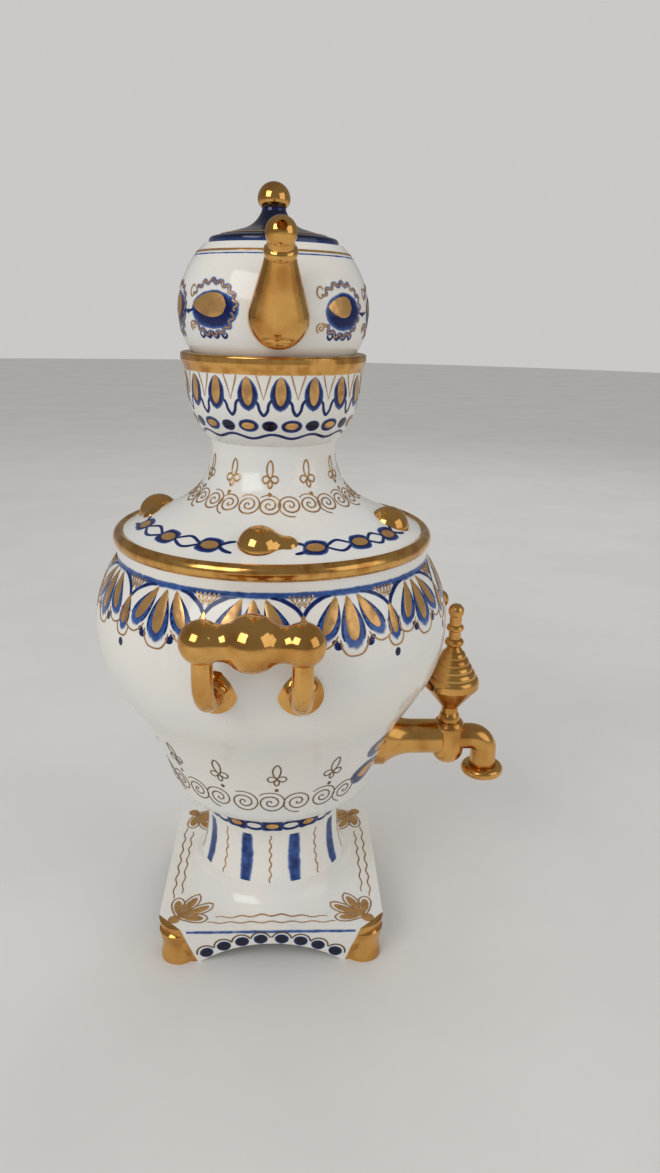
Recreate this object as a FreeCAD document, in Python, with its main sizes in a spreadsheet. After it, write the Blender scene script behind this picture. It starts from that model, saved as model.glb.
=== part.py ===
import FreeCAD, Part
import math
import os
import Sketcher

# Porcelain samovar set: plinth, urn with tap and two handles, lift-off cover with a crown, and a teapot.
# Millimetres, Z up. The origin is on the ground under the middle of the plinth.
# The tap points along +X and the front handle and the teapot's spout along -Y.

DRIVING_SIZES = {
    # Plinth, its arches and its corner feet
    "plinth_width": 86.3,
    "plinth_foot_width": 81.5,
    "plinth_height": 16.3,
    "plinth_corner": 9.0,
    "plinth_wall": 4.5,
    "plinth_inner_corner": 4.5,
    "plinth_deck": 4.5,
    "arch_half_span": 27.0,
    "arch_rise": 8.8,
    "foot_inset": 7.6,
    "foot_toe_radius": 7.0,
    "foot_toe_height": 1.4,
    "foot_waist_radius": 6.4,
    "foot_waist_height": 6.0,
    "foot_calf_radius": 6.9,
    "foot_calf_height": 9.5,
    "foot_shoulder_radius": 7.4,
    "foot_shoulder_height": 12.5,
    "foot_cover": 0.8,
    # Stem between plinth and urn
    "stem_height": 40.7,
    "stem_flare_radius": 40.0,
    "stem_skirt_radius": 29.5,
    "stem_skirt_rise": 9.7,
    "stem_waist_radius": 26.5,
    "stem_waist_rise": 25.7,
    "stem_top_radius": 30.0,
    "stem_wall": 4.0,
    # Urn, with rises measured from its underside
    "urn_height": 100.9,
    "urn_wall": 4.0,
    "urn_floor": 4.5,
    "urn_cup_radius": 39.3,
    "urn_cup_rise": 5.2,
    "urn_cup_round": 7.0,
    "urn_waist_radius": 44.4,
    "urn_waist_rise": 20.0,
    "urn_flank_radius": 56.0,
    "urn_flank_rise": 41.5,
    "urn_belly_radius": 66.0,
    "urn_belly_rise": 71.0,
    "urn_mouth_radius": 57.4,
    "urn_lip_height": 4.9,
    "urn_wedge_angle": 90.0,
    # Two loop handles, front and rear
    "handle_turn": -3.5,
    "handle_standoff": 13.5,
    "handle_bar_rise": 18.0,
    "handle_bulb_radius": 9.0,
    "handle_ball_radius": 6.9,
    "handle_ball_offset": 15.0,
    "handle_neck_fillet": 5.6,
    "handle_post_radius": 3.3,
    "handle_post_bend": 10.0,
    "handle_post_toe": 5.0,
    "handle_pad_drop": 4.7,
    "handle_pad_radius": 7.4,
    "handle_pad_thickness": 1.3,
    "handle_pad_flare": 4.5,
    "handle_prop_radius": 2.2,
    "handle_prop_root_radius": 3.2,
    "handle_prop_slope": 26.0,
    # Tap: pipe, barrel and turning key
    "tap_rise": 18.0,
    "tap_pipe_radius": 5.2,
    "tap_stem_radius": 6.9,
    "tap_bore_radius": 1.8,
    "tap_root_radius": 11.4,
    "tap_root_reach": 12.0,
    "tap_nozzle_offset": 15.0,
    "tap_nozzle_bend": 6.0,
    "tap_nozzle_drop": 12.9,
    "tap_lip_radius": 8.6,
    "tap_lip_thickness": 3.4,
    "tap_barrel_radius": 6.5,
    "tap_barrel_depth": 11.5,
    "tap_barrel_lift": 0.4,
    "tap_barrel_floor": 2.6,
    "tap_barrel_top_radius": 5.2,
    "tap_barrel_top_round": 3.0,
    "key_plug_radius": 3.6,
    "key_plug_fit": 0.06,
    "key_plug_end_gap": 0.5,
    "key_collar_radius": 4.4,
    "key_collar_height": 3.8,
    "key_neck_radius": 3.3,
    "key_neck_rise": 13.3,
    "key_cone_radius": 10.8,
    "key_cone_rise": 22.6,
    "key_cone_edge": 2.0,
    "key_cone_top_radius": 3.6,
    "key_cone_top_rise": 37.5,
    "key_bead_radius": 3.8,
    "key_bead_rise": 41.0,
    "key_bead_height": 3.0,
    "key_ring_radius": 3.45,
    "key_ring_rise": 47.0,
    "key_ring_height": 2.6,
    "key_waist_radius": 2.4,
    "finial_ball_radius": 3.1,
    "finial_rise": 53.8,
    "finial_gap": 2.0,
    "finial_prop_radius": 4.0,
    "finial_prop_sink": 1.6,
    "finial_prop_rise": 4.6,
    "finial_prop_shift": 3.2,
    # Cover over the urn, with rises measured from the urn's lip
    "cover_height": 37.1,
    "cover_wall": 4.0,
    "cover_rim_overhang": 1.2,
    "cover_rim_swell_rise": 2.6,
    "cover_rim_crest_radius": 56.4,
    "cover_rim_crest_rise": 5.6,
    "cover_step_radius": 54.8,
    "cover_step_rise": 4.8,
    "cover_shoulder_radius": 34.9,
    "cover_shoulder_rise": 14.1,
    "cover_neck_radius": 22.2,
    "cover_neck_rise": 33.6,
    "cover_top_radius": 22.6,
    "cover_plug_depth": 7.0,
    "cover_plug_wall": 4.0,
    "cover_plug_clearance": 0.6,
    "nut_reach": 43.2,
    "nut_body_radius": 7.5,
    "nut_tip_radius": 4.2,
    "nut_tip_offset": 9.0,
    "nut_shift": 2.4,
    "nut_fillet": 6.0,
    "nut_sink": 2.9,
    "nut_front_angle": -92.0,
    "nut_right_angle": -13.0,
    "nut_rear_angle": 88.0,
    "nut_left_angle": 176.0,
    # Crown bowl that holds the teapot
    "crown_height": 30.0,
    "crown_waist_inset": 1.9,
    "crown_waist_rise": 19.5,
    "crown_rim_wall": 3.0,
    "crown_rim_height": 2.4,
    "crown_rim_round": 0.8,
    "crown_recess_depth": 10.0,
    "crown_recess_taper": 4.6,
    "crown_floor": 3.6,
    # Teapot, with rises measured from its foot
    "teapot_turn": 3.6,
    "pot_height": 45.0,
    "pot_wall": 2.6,
    "pot_floor": 3.0,
    "pot_foot_radius": 19.5,
    "pot_foot_height": 2.2,
    "pot_foot_width": 3.0,
    "pot_foot_recess": 1.2,
    "pot_seat_inset": 4.05,
    "pot_seat_clearance": 0.8,
    "pot_belly_radius": 32.85,
    "pot_belly_rise": 23.5,
    "pot_mouth_radius": 23.6,
    "strainer_radius": 1.1,
    "strainer_ring": 3.4,
    "strainer_rise": 22.5,
    "spout_lean": 29.0,
    "spout_rise": 22.0,
    "spout_sink": 0.2,
    "spout_radius": 9.8,
    "spout_shoulder_rise": 3.2,
    "spout_neck_radius": 4.7,
    "spout_neck_rise": 20.0,
    "spout_collar_radius": 5.2,
    "spout_collar_rise": 21.6,
    "spout_throat_radius": 4.2,
    "spout_throat_rise": 23.2,
    "spout_lip_radius": 4.8,
    "spout_lip_rise": 27.2,
    "spout_wall": 2.8,
    "spout_bore_radius": 1.6,
    "spout_mouth_tilt": 20.0,
    "ring_handle_radius": 12.5,
    "ring_handle_thickness": 2.6,
    "ring_handle_offset": 3.4,
    "ring_handle_rise": 25.0,
    # Teapot lid and its knob, with rises measured from the pot's mouth
    "lid_overhang": 1.6,
    "lid_edge_height": 0.9,
    "lid_brow_radius": 20.6,
    "lid_brow_rise": 2.4,
    "lid_skirt_radius": 10.5,
    "lid_skirt_rise": 5.2,
    "lid_seat_radius": 4.2,
    "lid_seat_rise": 10.8,
    "lid_ceiling_radius": 8.0,
    "lid_ceiling_rise": 3.6,
    "lid_flange_depth": 4.0,
    "lid_flange_wall": 2.6,
    "lid_flange_clearance": 0.5,
    "knob_neck_radius": 4.0,
    "knob_neck_rise": 0.9,
    "knob_ball_radius": 5.5,
    "knob_ball_rise": 3.8,
}

KEY_CONE_RINGS = 5
STRAINER_HOLES = 6

SHEET = "Sizes"
FULL_TURN = 360.0


class Size:
    """A number together with the sheet expression that gives it."""

    def __init__(self, value, text):
        self.value = value
        self.text = text

    def __add__(self, other):
        other = as_size(other)
        return Size(self.value + other.value, f"({self.text} + {other.text})")

    def __sub__(self, other):
        other = as_size(other)
        return Size(self.value - other.value, f"({self.text} - {other.text})")

    def __mul__(self, other):
        other = as_size(other)
        return Size(self.value * other.value, f"({self.text} * {other.text})")

    def __truediv__(self, other):
        other = as_size(other)
        return Size(self.value / other.value, f"({self.text} / {other.text})")

    def __radd__(self, other):
        return as_size(other) + self

    def __rsub__(self, other):
        return as_size(other) - self

    def __rmul__(self, other):
        return as_size(other) * self

    def __neg__(self):
        return as_size(0) - self


def as_size(number):
    """A plain number as a Size; a Size stays as it is."""
    if isinstance(number, Size):
        return number
    return Size(float(number), str(number))


def sine(angle):
    return Size(math.sin(math.radians(angle.value)), f"sin({angle.text})")


def cosine(angle):
    return Size(math.cos(math.radians(angle.value)), f"cos({angle.text})")


def root(number):
    return Size(math.sqrt(number.value), f"sqrt({number.text})")


class Sheet:
    """The driving sizes, each an alias in the document's spreadsheet."""

    def __init__(self, document, sizes):
        cells = document.addObject("Spreadsheet::Sheet", SHEET)
        for row, (name, value) in enumerate(sizes.items(), start=1):
            cells.set(f"A{row}", name)
            cells.set(f"B{row}", str(value))
            cells.setAlias(f"B{row}", name)
            setattr(self, name, Size(value, f"{SHEET}.{name}"))


doc = FreeCAD.newDocument("samovar_set")
S = Sheet(doc, DRIVING_SIZES)
doc.recompute()


class Outline:
    """A chain of lines and arcs in a sketch whose corners follow the sheet."""

    def __init__(self, sketch, x, y):
        self.sketch = sketch
        self.corners = [(as_size(x), as_size(y))]
        self.pieces = []
        self.rules = []
        self.heading = None

    def vector(self, corner):
        return FreeCAD.Vector(corner[0].value, corner[1].value, 0)

    def join(self, geometry, first, last, tangent):
        """Adds one piece and ties its first end to the last end of the piece before it."""
        index = self.sketch.addGeometry(geometry, False)
        if self.pieces:
            before = self.pieces[-1]
            kind = "Tangent" if tangent else "Coincident"
            self.rules.append(Sketcher.Constraint(kind, before[0], before[2], index, first))
        self.pieces.append((index, first, last))
        return index

    def line(self, x, y):
        """A straight piece to the corner x, y."""
        start = self.vector(self.corners[-1])
        self.corners.append((as_size(x), as_size(y)))
        end = self.vector(self.corners[-1])
        self.join(Part.LineSegment(start, end), 1, 2, False)
        self.heading = (end - start).normalize()
        return self

    def arc(self, x, y, level=None, plumb=None):
        """An arc to the corner x, y.

        It runs on smoothly from the piece before it, unless its centre is level with, or plumb
        above or below, its "start" or its "end".
        """
        start = self.vector(self.corners[-1])
        self.corners.append((as_size(x), as_size(y)))
        end = self.vector(self.corners[-1])
        chord = end - start
        if level or plumb:
            near = start if "start" in (level, plumb) else end
            far = end if near is start else start
            way = FreeCAD.Vector(1, 0, 0) if level else FreeCAD.Vector(0, 1, 0)
            across = far - near
            centre = near + way * (across.dot(across) / (2 * across.dot(way)))
            counterclockwise = (start - centre).cross(end - centre).z > 0
        else:
            left = FreeCAD.Vector(-self.heading.y, self.heading.x, 0)
            reach = chord.dot(chord) / (2 * chord.dot(left))
            centre = start + left * reach
            counterclockwise = reach > 0
        radius = (start - centre).Length
        begin, stop = (start, end) if counterclockwise else (end, start)
        begin_angle = math.atan2(begin.y - centre.y, begin.x - centre.x)
        stop_angle = math.atan2(stop.y - centre.y, stop.x - centre.x)
        circle = Part.Circle(centre, FreeCAD.Vector(0, 0, 1), radius)
        first, last = (1, 2) if counterclockwise else (2, 1)
        smooth = not (level or plumb)
        index = self.join(Part.ArcOfCircle(circle, begin_angle, stop_angle), first, last, smooth)
        if not smooth:
            kind = "Horizontal" if level else "Vertical"
            tied = first if "start" in (level, plumb) else last
            self.rules.append(Sketcher.Constraint(kind, index, tied, index, 3))
        spoke = (end - centre).normalize()
        turn = 1 if counterclockwise else -1
        self.heading = FreeCAD.Vector(-spoke.y * turn, spoke.x * turn, 0)
        return self

    def hold(self, corner, piece, position, bindings):
        """Ties one corner's two coordinates to the sheet."""
        for size, kind, axis in zip(corner, ("DistanceX", "DistanceY"), (-2, -1)):
            if size.text == "0":
                self.rules.append(Sketcher.Constraint("PointOnObject", piece, position, axis))
            else:
                bindings.append((len(self.rules), size.text))
                self.rules.append(Sketcher.Constraint(kind, -1, 1, piece, position, size.value))

    def finish(self):
        """Adds every constraint at once and binds the corners to the sheet."""
        bindings = []
        for corner, (piece, first, last) in zip(self.corners, self.pieces):
            self.hold(corner, piece, first, bindings)
        if len(self.corners) > len(self.pieces):
            self.hold(self.corners[-1], self.pieces[-1][0], self.pieces[-1][2], bindings)
        bind_rules(self.sketch, self.rules, bindings)
        return self.sketch

    def close(self):
        """Closes the chain with a straight piece, if it is still open, and finishes it."""
        start = self.vector(self.corners[-1])
        end = self.vector(self.corners[0])
        if (end - start).Length > 0:
            self.join(Part.LineSegment(start, end), 1, 2, False)
        else:
            self.corners.pop()
        opening = self.pieces[0]
        closing = self.pieces[-1]
        self.rules.append(Sketcher.Constraint("Coincident", closing[0], closing[2], opening[0], opening[1]))
        return self.finish()


def bind_rules(sketch, rules, bindings):
    """Adds constraints to a sketch and binds the numbered ones to expressions."""
    sketch.addConstraint(rules)
    for index, text in bindings:
        sketch.setExpression(f"Constraints[{index}]", text)


def new_body(label):
    body = doc.addObject("PartDesign::Body", label)
    body.Label = label
    return body


def new_sketch(body, name, role, x=0, y=0, z=0, turn=0):
    """A sketch on one of the body's own origin planes, moved by x, y, z and turned in that plane."""
    sketch = body.newObject("Sketcher::SketchObject", name)
    plane = next(feature for feature in body.Origin.OriginFeatures if feature.Role == role)
    sketch.AttachmentSupport = [(plane, "")]
    sketch.MapMode = "FlatFace"
    place(sketch, x, y, z, FreeCAD.Vector(0, 0, 1), turn, "AttachmentOffset")
    return sketch


def place(item, x=0, y=0, z=0, axis=FreeCAD.Vector(0, 0, 1), turn=0, field="Placement"):
    """Moves an object by x, y, z and turns it about an axis, all bound to the sheet."""
    spot = [as_size(number) for number in (x, y, z)]
    turn = as_size(turn)
    if turn.value < 0:
        axis, turn = -axis, -turn
    elif turn.value > FULL_TURN / 2:
        axis, turn = -axis, FULL_TURN - turn
    rotation = FreeCAD.Rotation(axis, turn.value)
    setattr(item, field, FreeCAD.Placement(FreeCAD.Vector(*[size.value for size in spot]), rotation))
    for letter, size in zip("xyz", spot):
        if SHEET in size.text:
            item.setExpression(f"{field}.Base.{letter}", size.text)
    if SHEET in turn.text:
        item.setExpression(f"{field}.Rotation.Angle", turn.text)
    return item


def revolve(body, sketch, name, axis="V_Axis", kind="PartDesign::Revolution"):
    feature = body.newObject(kind, name)
    feature.Profile = sketch
    feature.ReferenceAxis = (sketch, [axis])
    feature.Angle = FULL_TURN
    return feature


def circle(sketch, x, y, radius):
    """A circle in a sketch with its middle and radius bound to the sheet."""
    outline = Outline(sketch, x, y)
    middle = outline.vector(outline.corners[0])
    index = sketch.addGeometry(Part.Circle(middle, FreeCAD.Vector(0, 0, 1), radius.value), False)
    bindings = []
    outline.hold(outline.corners[0], index, 3, bindings)
    bindings.append((len(outline.rules), radius.text))
    outline.rules.append(Sketcher.Constraint("Radius", index, radius.value))
    bind_rules(sketch, outline.rules, bindings)
    return sketch


def pipe(body, profile, path, name, kind="PartDesign::AdditivePipe"):
    feature = body.newObject(kind, name)
    feature.Profile = profile
    feature.Spine = (path, [f"Edge{number + 1}" for number in range(path.GeometryCount)])
    return feature


def pocket(body, sketch, name, length, both=False, reverse=False):
    """A pocket of the given depth, or twice it if it cuts both ways."""
    feature = body.newObject("PartDesign::Pocket", name)
    feature.Profile = sketch
    feature.Type = "Length"
    if both:
        feature.SideType = "Symmetric"
        length = 2 * length
    feature.Reversed = reverse
    feature.Length = length.value
    feature.setExpression("Length", length.text)
    return feature


def primitive(kind, label, **sizes):
    item = doc.addObject(kind, label)
    item.Label = label
    for name, size in sizes.items():
        setattr(item, name, size.value)
        item.setExpression(name, size.text)
    return item


def cut(label, base, *tools):
    """The base with each tool cut from it in turn."""
    for number, tool in enumerate(tools):
        last = number == len(tools) - 1
        name = label if last else f"{label}_trim_{number}"
        item = doc.addObject("Part::Cut", name)
        item.Label = name
        item.Base = base
        item.Tool = tool
        base = item
    return base


def fuse(label, *pieces):
    item = doc.addObject("Part::MultiFuse", label)
    item.Label = label
    item.Shapes = list(pieces)
    return item


def bead_chain(sketch, beads, fillet):
    """Half outline of round beads along the sketch's X axis, blended by a concave fillet.

    Each bead is its place along the axis and its radius.
    """
    first_place, first_radius = beads[0]
    last_place, last_radius = beads[-1]
    outline = Outline(sketch, first_place - first_radius, 0)
    lead = {"level": "start"}
    for (place_a, radius_a), (place_b, radius_b) in zip(beads, beads[1:]):
        span = place_b - place_a
        reach_a = radius_a + fillet
        reach_b = radius_b + fillet
        along = (span * span + reach_a * reach_a - reach_b * reach_b) / (2 * span)
        above = root(reach_a * reach_a - along * along)
        share_a = radius_a / reach_a
        share_b = radius_b / reach_b
        outline.arc(place_a + along * share_a, above * share_a, **lead)
        outline.arc(place_b + (along - span) * share_b, above * share_b)
        lead = {}
    outline.arc(last_place + last_radius, 0)
    return outline.close()


# Levels that stack up from the ground

plinth_top = S.plinth_height
urn_base = plinth_top + S.stem_height
belly_level = urn_base + S.urn_belly_rise
urn_top = urn_base + S.urn_height
cover_top = urn_top + S.cover_height
crown_top = cover_top + S.crown_height
pot_base = crown_top - S.crown_recess_depth
pot_top = pot_base + S.pot_height
pot_seat_radius = S.pot_belly_radius - S.pot_seat_inset
tap_level = urn_base + S.tap_rise


def rounded_square(sketch, half, corner):
    """A square of the given half width with rounded corners, round the sketch's origin."""
    flat = half - corner
    outline = Outline(sketch, -flat, -half)
    outline.line(flat, -half).arc(half, -flat)
    outline.line(half, flat).arc(flat, half)
    outline.line(-flat, half).arc(-half, flat)
    outline.line(-half, -flat).arc(-flat, -half)
    return outline.close()


def make_plinth_block():
    """The square plinth with its flared stem, hollow below and arched on its four sides."""
    body = new_body("plinth_block")
    ground_sketch = new_sketch(body, "plinth_ground", "XY_Plane")
    ground = rounded_square(ground_sketch, S.plinth_foot_width / 2, S.plinth_corner)
    deck_sketch = new_sketch(body, "plinth_edge", "XY_Plane", z=plinth_top)
    deck = rounded_square(deck_sketch, S.plinth_width / 2, S.plinth_corner)
    block = body.newObject("PartDesign::AdditiveLoft", "plinth_sides")
    block.Profile = ground
    block.Sections = [deck]
    block.Ruled = True

    skirt_level = plinth_top + S.stem_skirt_rise
    waist_level = plinth_top + S.stem_waist_rise
    stem = Outline(new_sketch(body, "stem_outline", "XZ_Plane"), 0, plinth_top - S.plinth_deck / 2)
    stem.line(S.stem_flare_radius, plinth_top - S.plinth_deck / 2)
    stem.line(S.stem_flare_radius, plinth_top)
    stem.arc(S.stem_skirt_radius, skirt_level, plumb="start")
    stem.arc(S.stem_waist_radius, waist_level, level="end")
    stem.arc(S.stem_top_radius, urn_base)
    stem.line(0, urn_base)
    revolve(body, stem.close(), "stem")

    inner_half = S.plinth_foot_width / 2 - S.plinth_wall
    hollow = rounded_square(new_sketch(body, "plinth_hollow", "XY_Plane"), inner_half, S.plinth_inner_corner)
    pocket(body, hollow, "plinth_inside", plinth_top - S.plinth_deck, reverse=True)

    bore = Outline(new_sketch(body, "stem_hollow", "XZ_Plane"), 0, plinth_top - S.plinth_deck)
    bore.line(S.stem_skirt_radius - S.stem_wall, plinth_top - S.plinth_deck)
    bore.line(S.stem_skirt_radius - S.stem_wall, skirt_level)
    bore.arc(S.stem_waist_radius - S.stem_wall, waist_level, level="end")
    bore.arc(S.stem_top_radius - S.stem_wall, urn_base)
    bore.line(0, urn_base)
    revolve(body, bore.close(), "stem_inside", kind="PartDesign::Groove")

    for role in ("XZ_Plane", "YZ_Plane"):
        arch = Outline(new_sketch(body, f"arch_{role}", role), -S.arch_half_span, 0)
        arch.line(S.arch_half_span, 0)
        arch.arc(0, S.arch_rise, plumb="end")
        arch.arc(-S.arch_half_span, 0)
        pocket(body, arch.close(), f"arches_{role}", S.plinth_width, both=True)
    return body


def make_foot(label, side_x, side_y):
    """A turned corner foot: spread toe, waist and a round shoulder let into the plinth's corner."""
    body = new_body(label)
    foot = Outline(new_sketch(body, f"{label}_outline", "XZ_Plane"), 0, 0)
    foot.line(S.foot_toe_radius, 0)
    foot.line(S.foot_toe_radius, S.foot_toe_height)
    foot.arc(S.foot_waist_radius, S.foot_waist_height, level="end")
    foot.arc(S.foot_calf_radius, S.foot_calf_height)
    foot.arc(S.foot_shoulder_radius, S.foot_shoulder_height)
    foot.arc(0, plinth_top - S.foot_cover, plumb="end")
    revolve(body, foot.close(), f"{label}_turned")
    spot = S.plinth_width / 2 - S.foot_inset
    return place(body, spot * side_x, spot * side_y)


def urn_side(outline, inset):
    """The urn's curve from its rounded bottom edge to its lip, drawn inset from the outside."""
    outline.arc(S.urn_waist_radius - inset, urn_base + S.urn_waist_rise)
    outline.arc(S.urn_flank_radius - inset, urn_base + S.urn_flank_rise)
    outline.arc(S.urn_belly_radius - inset, belly_level, level="end")
    outline.arc(S.urn_mouth_radius - inset, urn_top - S.urn_lip_height)
    outline.line(S.urn_mouth_radius - inset, urn_top)
    outline.line(0, urn_top)
    return outline.close()


def turn_urn_outside(body):
    outside = Outline(new_sketch(body, f"{body.Label}_outline", "XZ_Plane"), 0, urn_base)
    outside.line(S.urn_cup_radius - S.urn_cup_round, urn_base)
    outside.arc(S.urn_cup_radius, urn_base + S.urn_cup_rise)
    return revolve(body, urn_side(outside, 0), f"{body.Label}_turned")


def make_urn_wedge(label, facing):
    """A wedge of the filled urn that trims whatever is luted to its wall on the facing side."""
    body = new_body(label)
    turned = turn_urn_outside(body)
    turned.Angle = S.urn_wedge_angle.value
    turned.setExpression("Angle", S.urn_wedge_angle.text)
    return place(body, turn=facing - S.urn_wedge_angle / 2)


def make_urn_body():
    """The thrown urn: a hollow vase with an open mouth and a hole for the tap."""
    body = new_body("urn_body")
    turn_urn_outside(body)
    floor = urn_base + S.urn_floor
    inside = Outline(new_sketch(body, "urn_hollow", "XZ_Plane"), 0, floor)
    inside.line(S.urn_cup_radius - S.urn_wall - S.urn_cup_round, floor)
    inside.arc(S.urn_cup_radius - S.urn_wall, floor + S.urn_cup_rise)
    revolve(body, urn_side(inside, S.urn_wall), "urn_inside", kind="PartDesign::Groove")
    hole = circle(new_sketch(body, "urn_tap_hole", "YZ_Plane"), 0, tap_level, S.tap_bore_radius)
    pocket(body, hole, "urn_tap_passage", S.urn_belly_radius, reverse=True)
    return body


# Handles: everything is drawn in the front handle's own frame and turned about the urn's axis

handle_reach = S.urn_belly_radius + S.handle_standoff
handle_level = belly_level + S.handle_bar_rise


def at_handle(item, turn, x, y, z, extra_turn=0):
    """Sets an object at x, y, z of a handle frame turned about the urn's axis."""
    c = cosine(turn)
    s = sine(turn)
    return place(item, x * c - y * s, x * s + y * c, z, turn=turn + extra_turn)


def make_handle_bar(label, turn):
    """A gripping bar: a middle bulb between two end balls."""
    body = new_body(label)
    sketch = new_sketch(body, f"{label}_outline", "XZ_Plane")
    ball = S.handle_ball_radius
    beads = [(-S.handle_ball_offset, ball), (as_size(0), S.handle_bulb_radius), (S.handle_ball_offset, ball)]
    revolve(body, bead_chain(sketch, beads, S.handle_neck_fillet), f"{label}_turned", "H_Axis")
    return at_handle(body, turn, as_size(0), -handle_reach, handle_level)


def make_handle_post(label, turn, side, bar, wedge):
    """A leg that drops from an end ball, bends back and spreads into a pad on the urn's wall."""
    body = new_body(f"{label}_blank")
    drop = S.handle_bar_rise + S.handle_pad_drop
    profile = circle(new_sketch(body, f"{label}_section", "XY_Plane"), 0, 0, S.handle_post_radius)
    path = Outline(new_sketch(body, f"{label}_path", "YZ_Plane"), 0, 0)
    path.line(0, S.handle_post_bend - drop)
    path.arc(S.handle_post_bend, -drop)
    wall = S.handle_standoff + S.handle_pad_thickness
    path.line(wall, -drop)
    pipe(body, profile, path.finish(), f"{label}_leg")

    pad_sketch = new_sketch(body, f"{label}_pad_outline", "YZ_Plane", y=-drop)
    pad = Outline(pad_sketch, wall - S.handle_pad_flare, 0)
    pad.line(wall - S.handle_pad_flare, S.handle_post_radius)
    pad.arc(wall, S.handle_pad_radius, plumb="start")
    pad.line(handle_reach - S.urn_flank_radius, S.handle_pad_radius)
    pad.line(handle_reach - S.urn_flank_radius, 0)
    revolve(body, pad.close(), f"{label}_pad", "H_Axis")

    at_handle(body, turn, S.handle_ball_offset * side, -handle_reach, handle_level, S.handle_post_toe * side)
    return cut(label, body, wedge, bar)


def make_handle_prop(label, turn, bar, wedge):
    """A short slanting prop between the bar's middle bulb and the urn's wall."""
    body = new_body(f"{label}_blank")
    sketch = new_sketch(body, f"{label}_outline", "YZ_Plane", turn=-S.handle_prop_slope)
    outline = Outline(sketch, 0, 0)
    outline.line(0, S.handle_prop_radius)
    outline.line(handle_reach - S.urn_flank_radius, S.handle_prop_root_radius)
    outline.line(handle_reach - S.urn_flank_radius, 0)
    revolve(body, outline.close(), f"{label}_turned", "H_Axis")
    at_handle(body, turn, as_size(0), -handle_reach, handle_level)
    return cut(label, body, wedge, bar)


# Tap: the key stands clear of the urn's belly by its finial's gap

key_reach = S.urn_belly_radius + S.finial_gap + S.finial_ball_radius
nozzle_reach = key_reach + S.tap_nozzle_offset
tap_start = S.urn_cup_radius - S.tap_root_radius
barrel_top = S.tap_stem_radius + S.tap_barrel_lift


def on_key_axis(item):
    """Sets an object where the key's upright axis crosses the pipe."""
    return place(item, key_reach, 0, tap_level)


def tap_path(body, name):
    """The tap's centre line: out from the urn and down the nozzle."""
    path = Outline(new_sketch(body, name, "XZ_Plane"), tap_start, tap_level)
    path.line(nozzle_reach - S.tap_nozzle_bend, tap_level)
    path.arc(nozzle_reach, tap_level - S.tap_nozzle_bend)
    path.line(nozzle_reach, tap_level - S.tap_nozzle_drop - S.tap_lip_thickness)
    return path.finish()


def make_tap_body(wedge):
    """The tap: a stem with a spread root, a barrel, an elbow and a lipped nozzle, all bored."""
    body = new_body("tap_pipe")
    section = new_sketch(body, "tap_section", "YZ_Plane", z=tap_start)
    profile = circle(section, 0, tap_level, S.tap_pipe_radius)
    pipe(body, profile, tap_path(body, "tap_path"), "tap_tube")

    stem_end = key_reach - S.tap_barrel_radius / 2
    flare_sketch = new_sketch(body, "tap_root_outline", "XZ_Plane", y=tap_level)
    flare = Outline(flare_sketch, tap_start, 0)
    flare.line(tap_start, S.tap_root_radius)
    flare.line(S.urn_waist_radius, S.tap_root_radius)
    flare.arc(S.urn_waist_radius + S.tap_root_reach, S.tap_stem_radius, plumb="end")
    flare.line(stem_end, S.tap_stem_radius)
    flare.line(stem_end, 0)
    revolve(body, flare.close(), "tap_root", "H_Axis")

    lip_top = -S.tap_nozzle_drop
    lip_middle = lip_top - S.tap_lip_thickness / 2
    lip_sketch = new_sketch(body, "tap_lip_outline", "XZ_Plane", x=nozzle_reach, y=tap_level)
    lip = Outline(lip_sketch, 0, lip_top - S.tap_lip_thickness)
    lip.line(S.tap_pipe_radius, lip_top - S.tap_lip_thickness)
    lip.arc(S.tap_lip_radius, lip_middle, level="end")
    lip.arc(S.tap_pipe_radius, lip_top)
    lip.line(0, lip_top)
    revolve(body, lip.close(), "tap_lip")

    barrel = new_body("tap_barrel")
    outline = Outline(new_sketch(barrel, "tap_barrel_outline", "XZ_Plane"), 0, -S.tap_barrel_depth)
    outline.arc(S.tap_barrel_radius, S.tap_barrel_radius - S.tap_barrel_depth, plumb="start")
    outline.line(S.tap_barrel_radius, barrel_top - S.tap_barrel_top_round)
    outline.arc(S.tap_barrel_top_radius, barrel_top, level="start")
    outline.line(0, barrel_top)
    revolve(barrel, outline.close(), "tap_barrel_turned")
    on_key_axis(barrel)

    plug_hole = new_body("tap_plug_hole")
    hole_radius = S.key_plug_radius + S.key_plug_fit
    hole_floor = S.tap_barrel_floor - S.tap_barrel_depth
    hole = Outline(new_sketch(plug_hole, "tap_plug_hole_outline", "XZ_Plane"), 0, hole_floor)
    hole.line(hole_radius, hole_floor)
    hole.line(hole_radius, barrel_top)
    hole.line(0, barrel_top)
    revolve(plug_hole, hole.close(), "tap_plug_hole_turned")
    on_key_axis(plug_hole)

    water_way = new_body("tap_water_way")
    bore_sketch = new_sketch(water_way, "tap_bore", "YZ_Plane", z=tap_start)
    bore = circle(bore_sketch, 0, tap_level, S.tap_bore_radius)
    pipe(water_way, bore, tap_path(water_way, "tap_bore_path"), "tap_bore_tube")

    return cut("tap_body", fuse("tap_blank", body, barrel), plug_hole, water_way, wedge)


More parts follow.
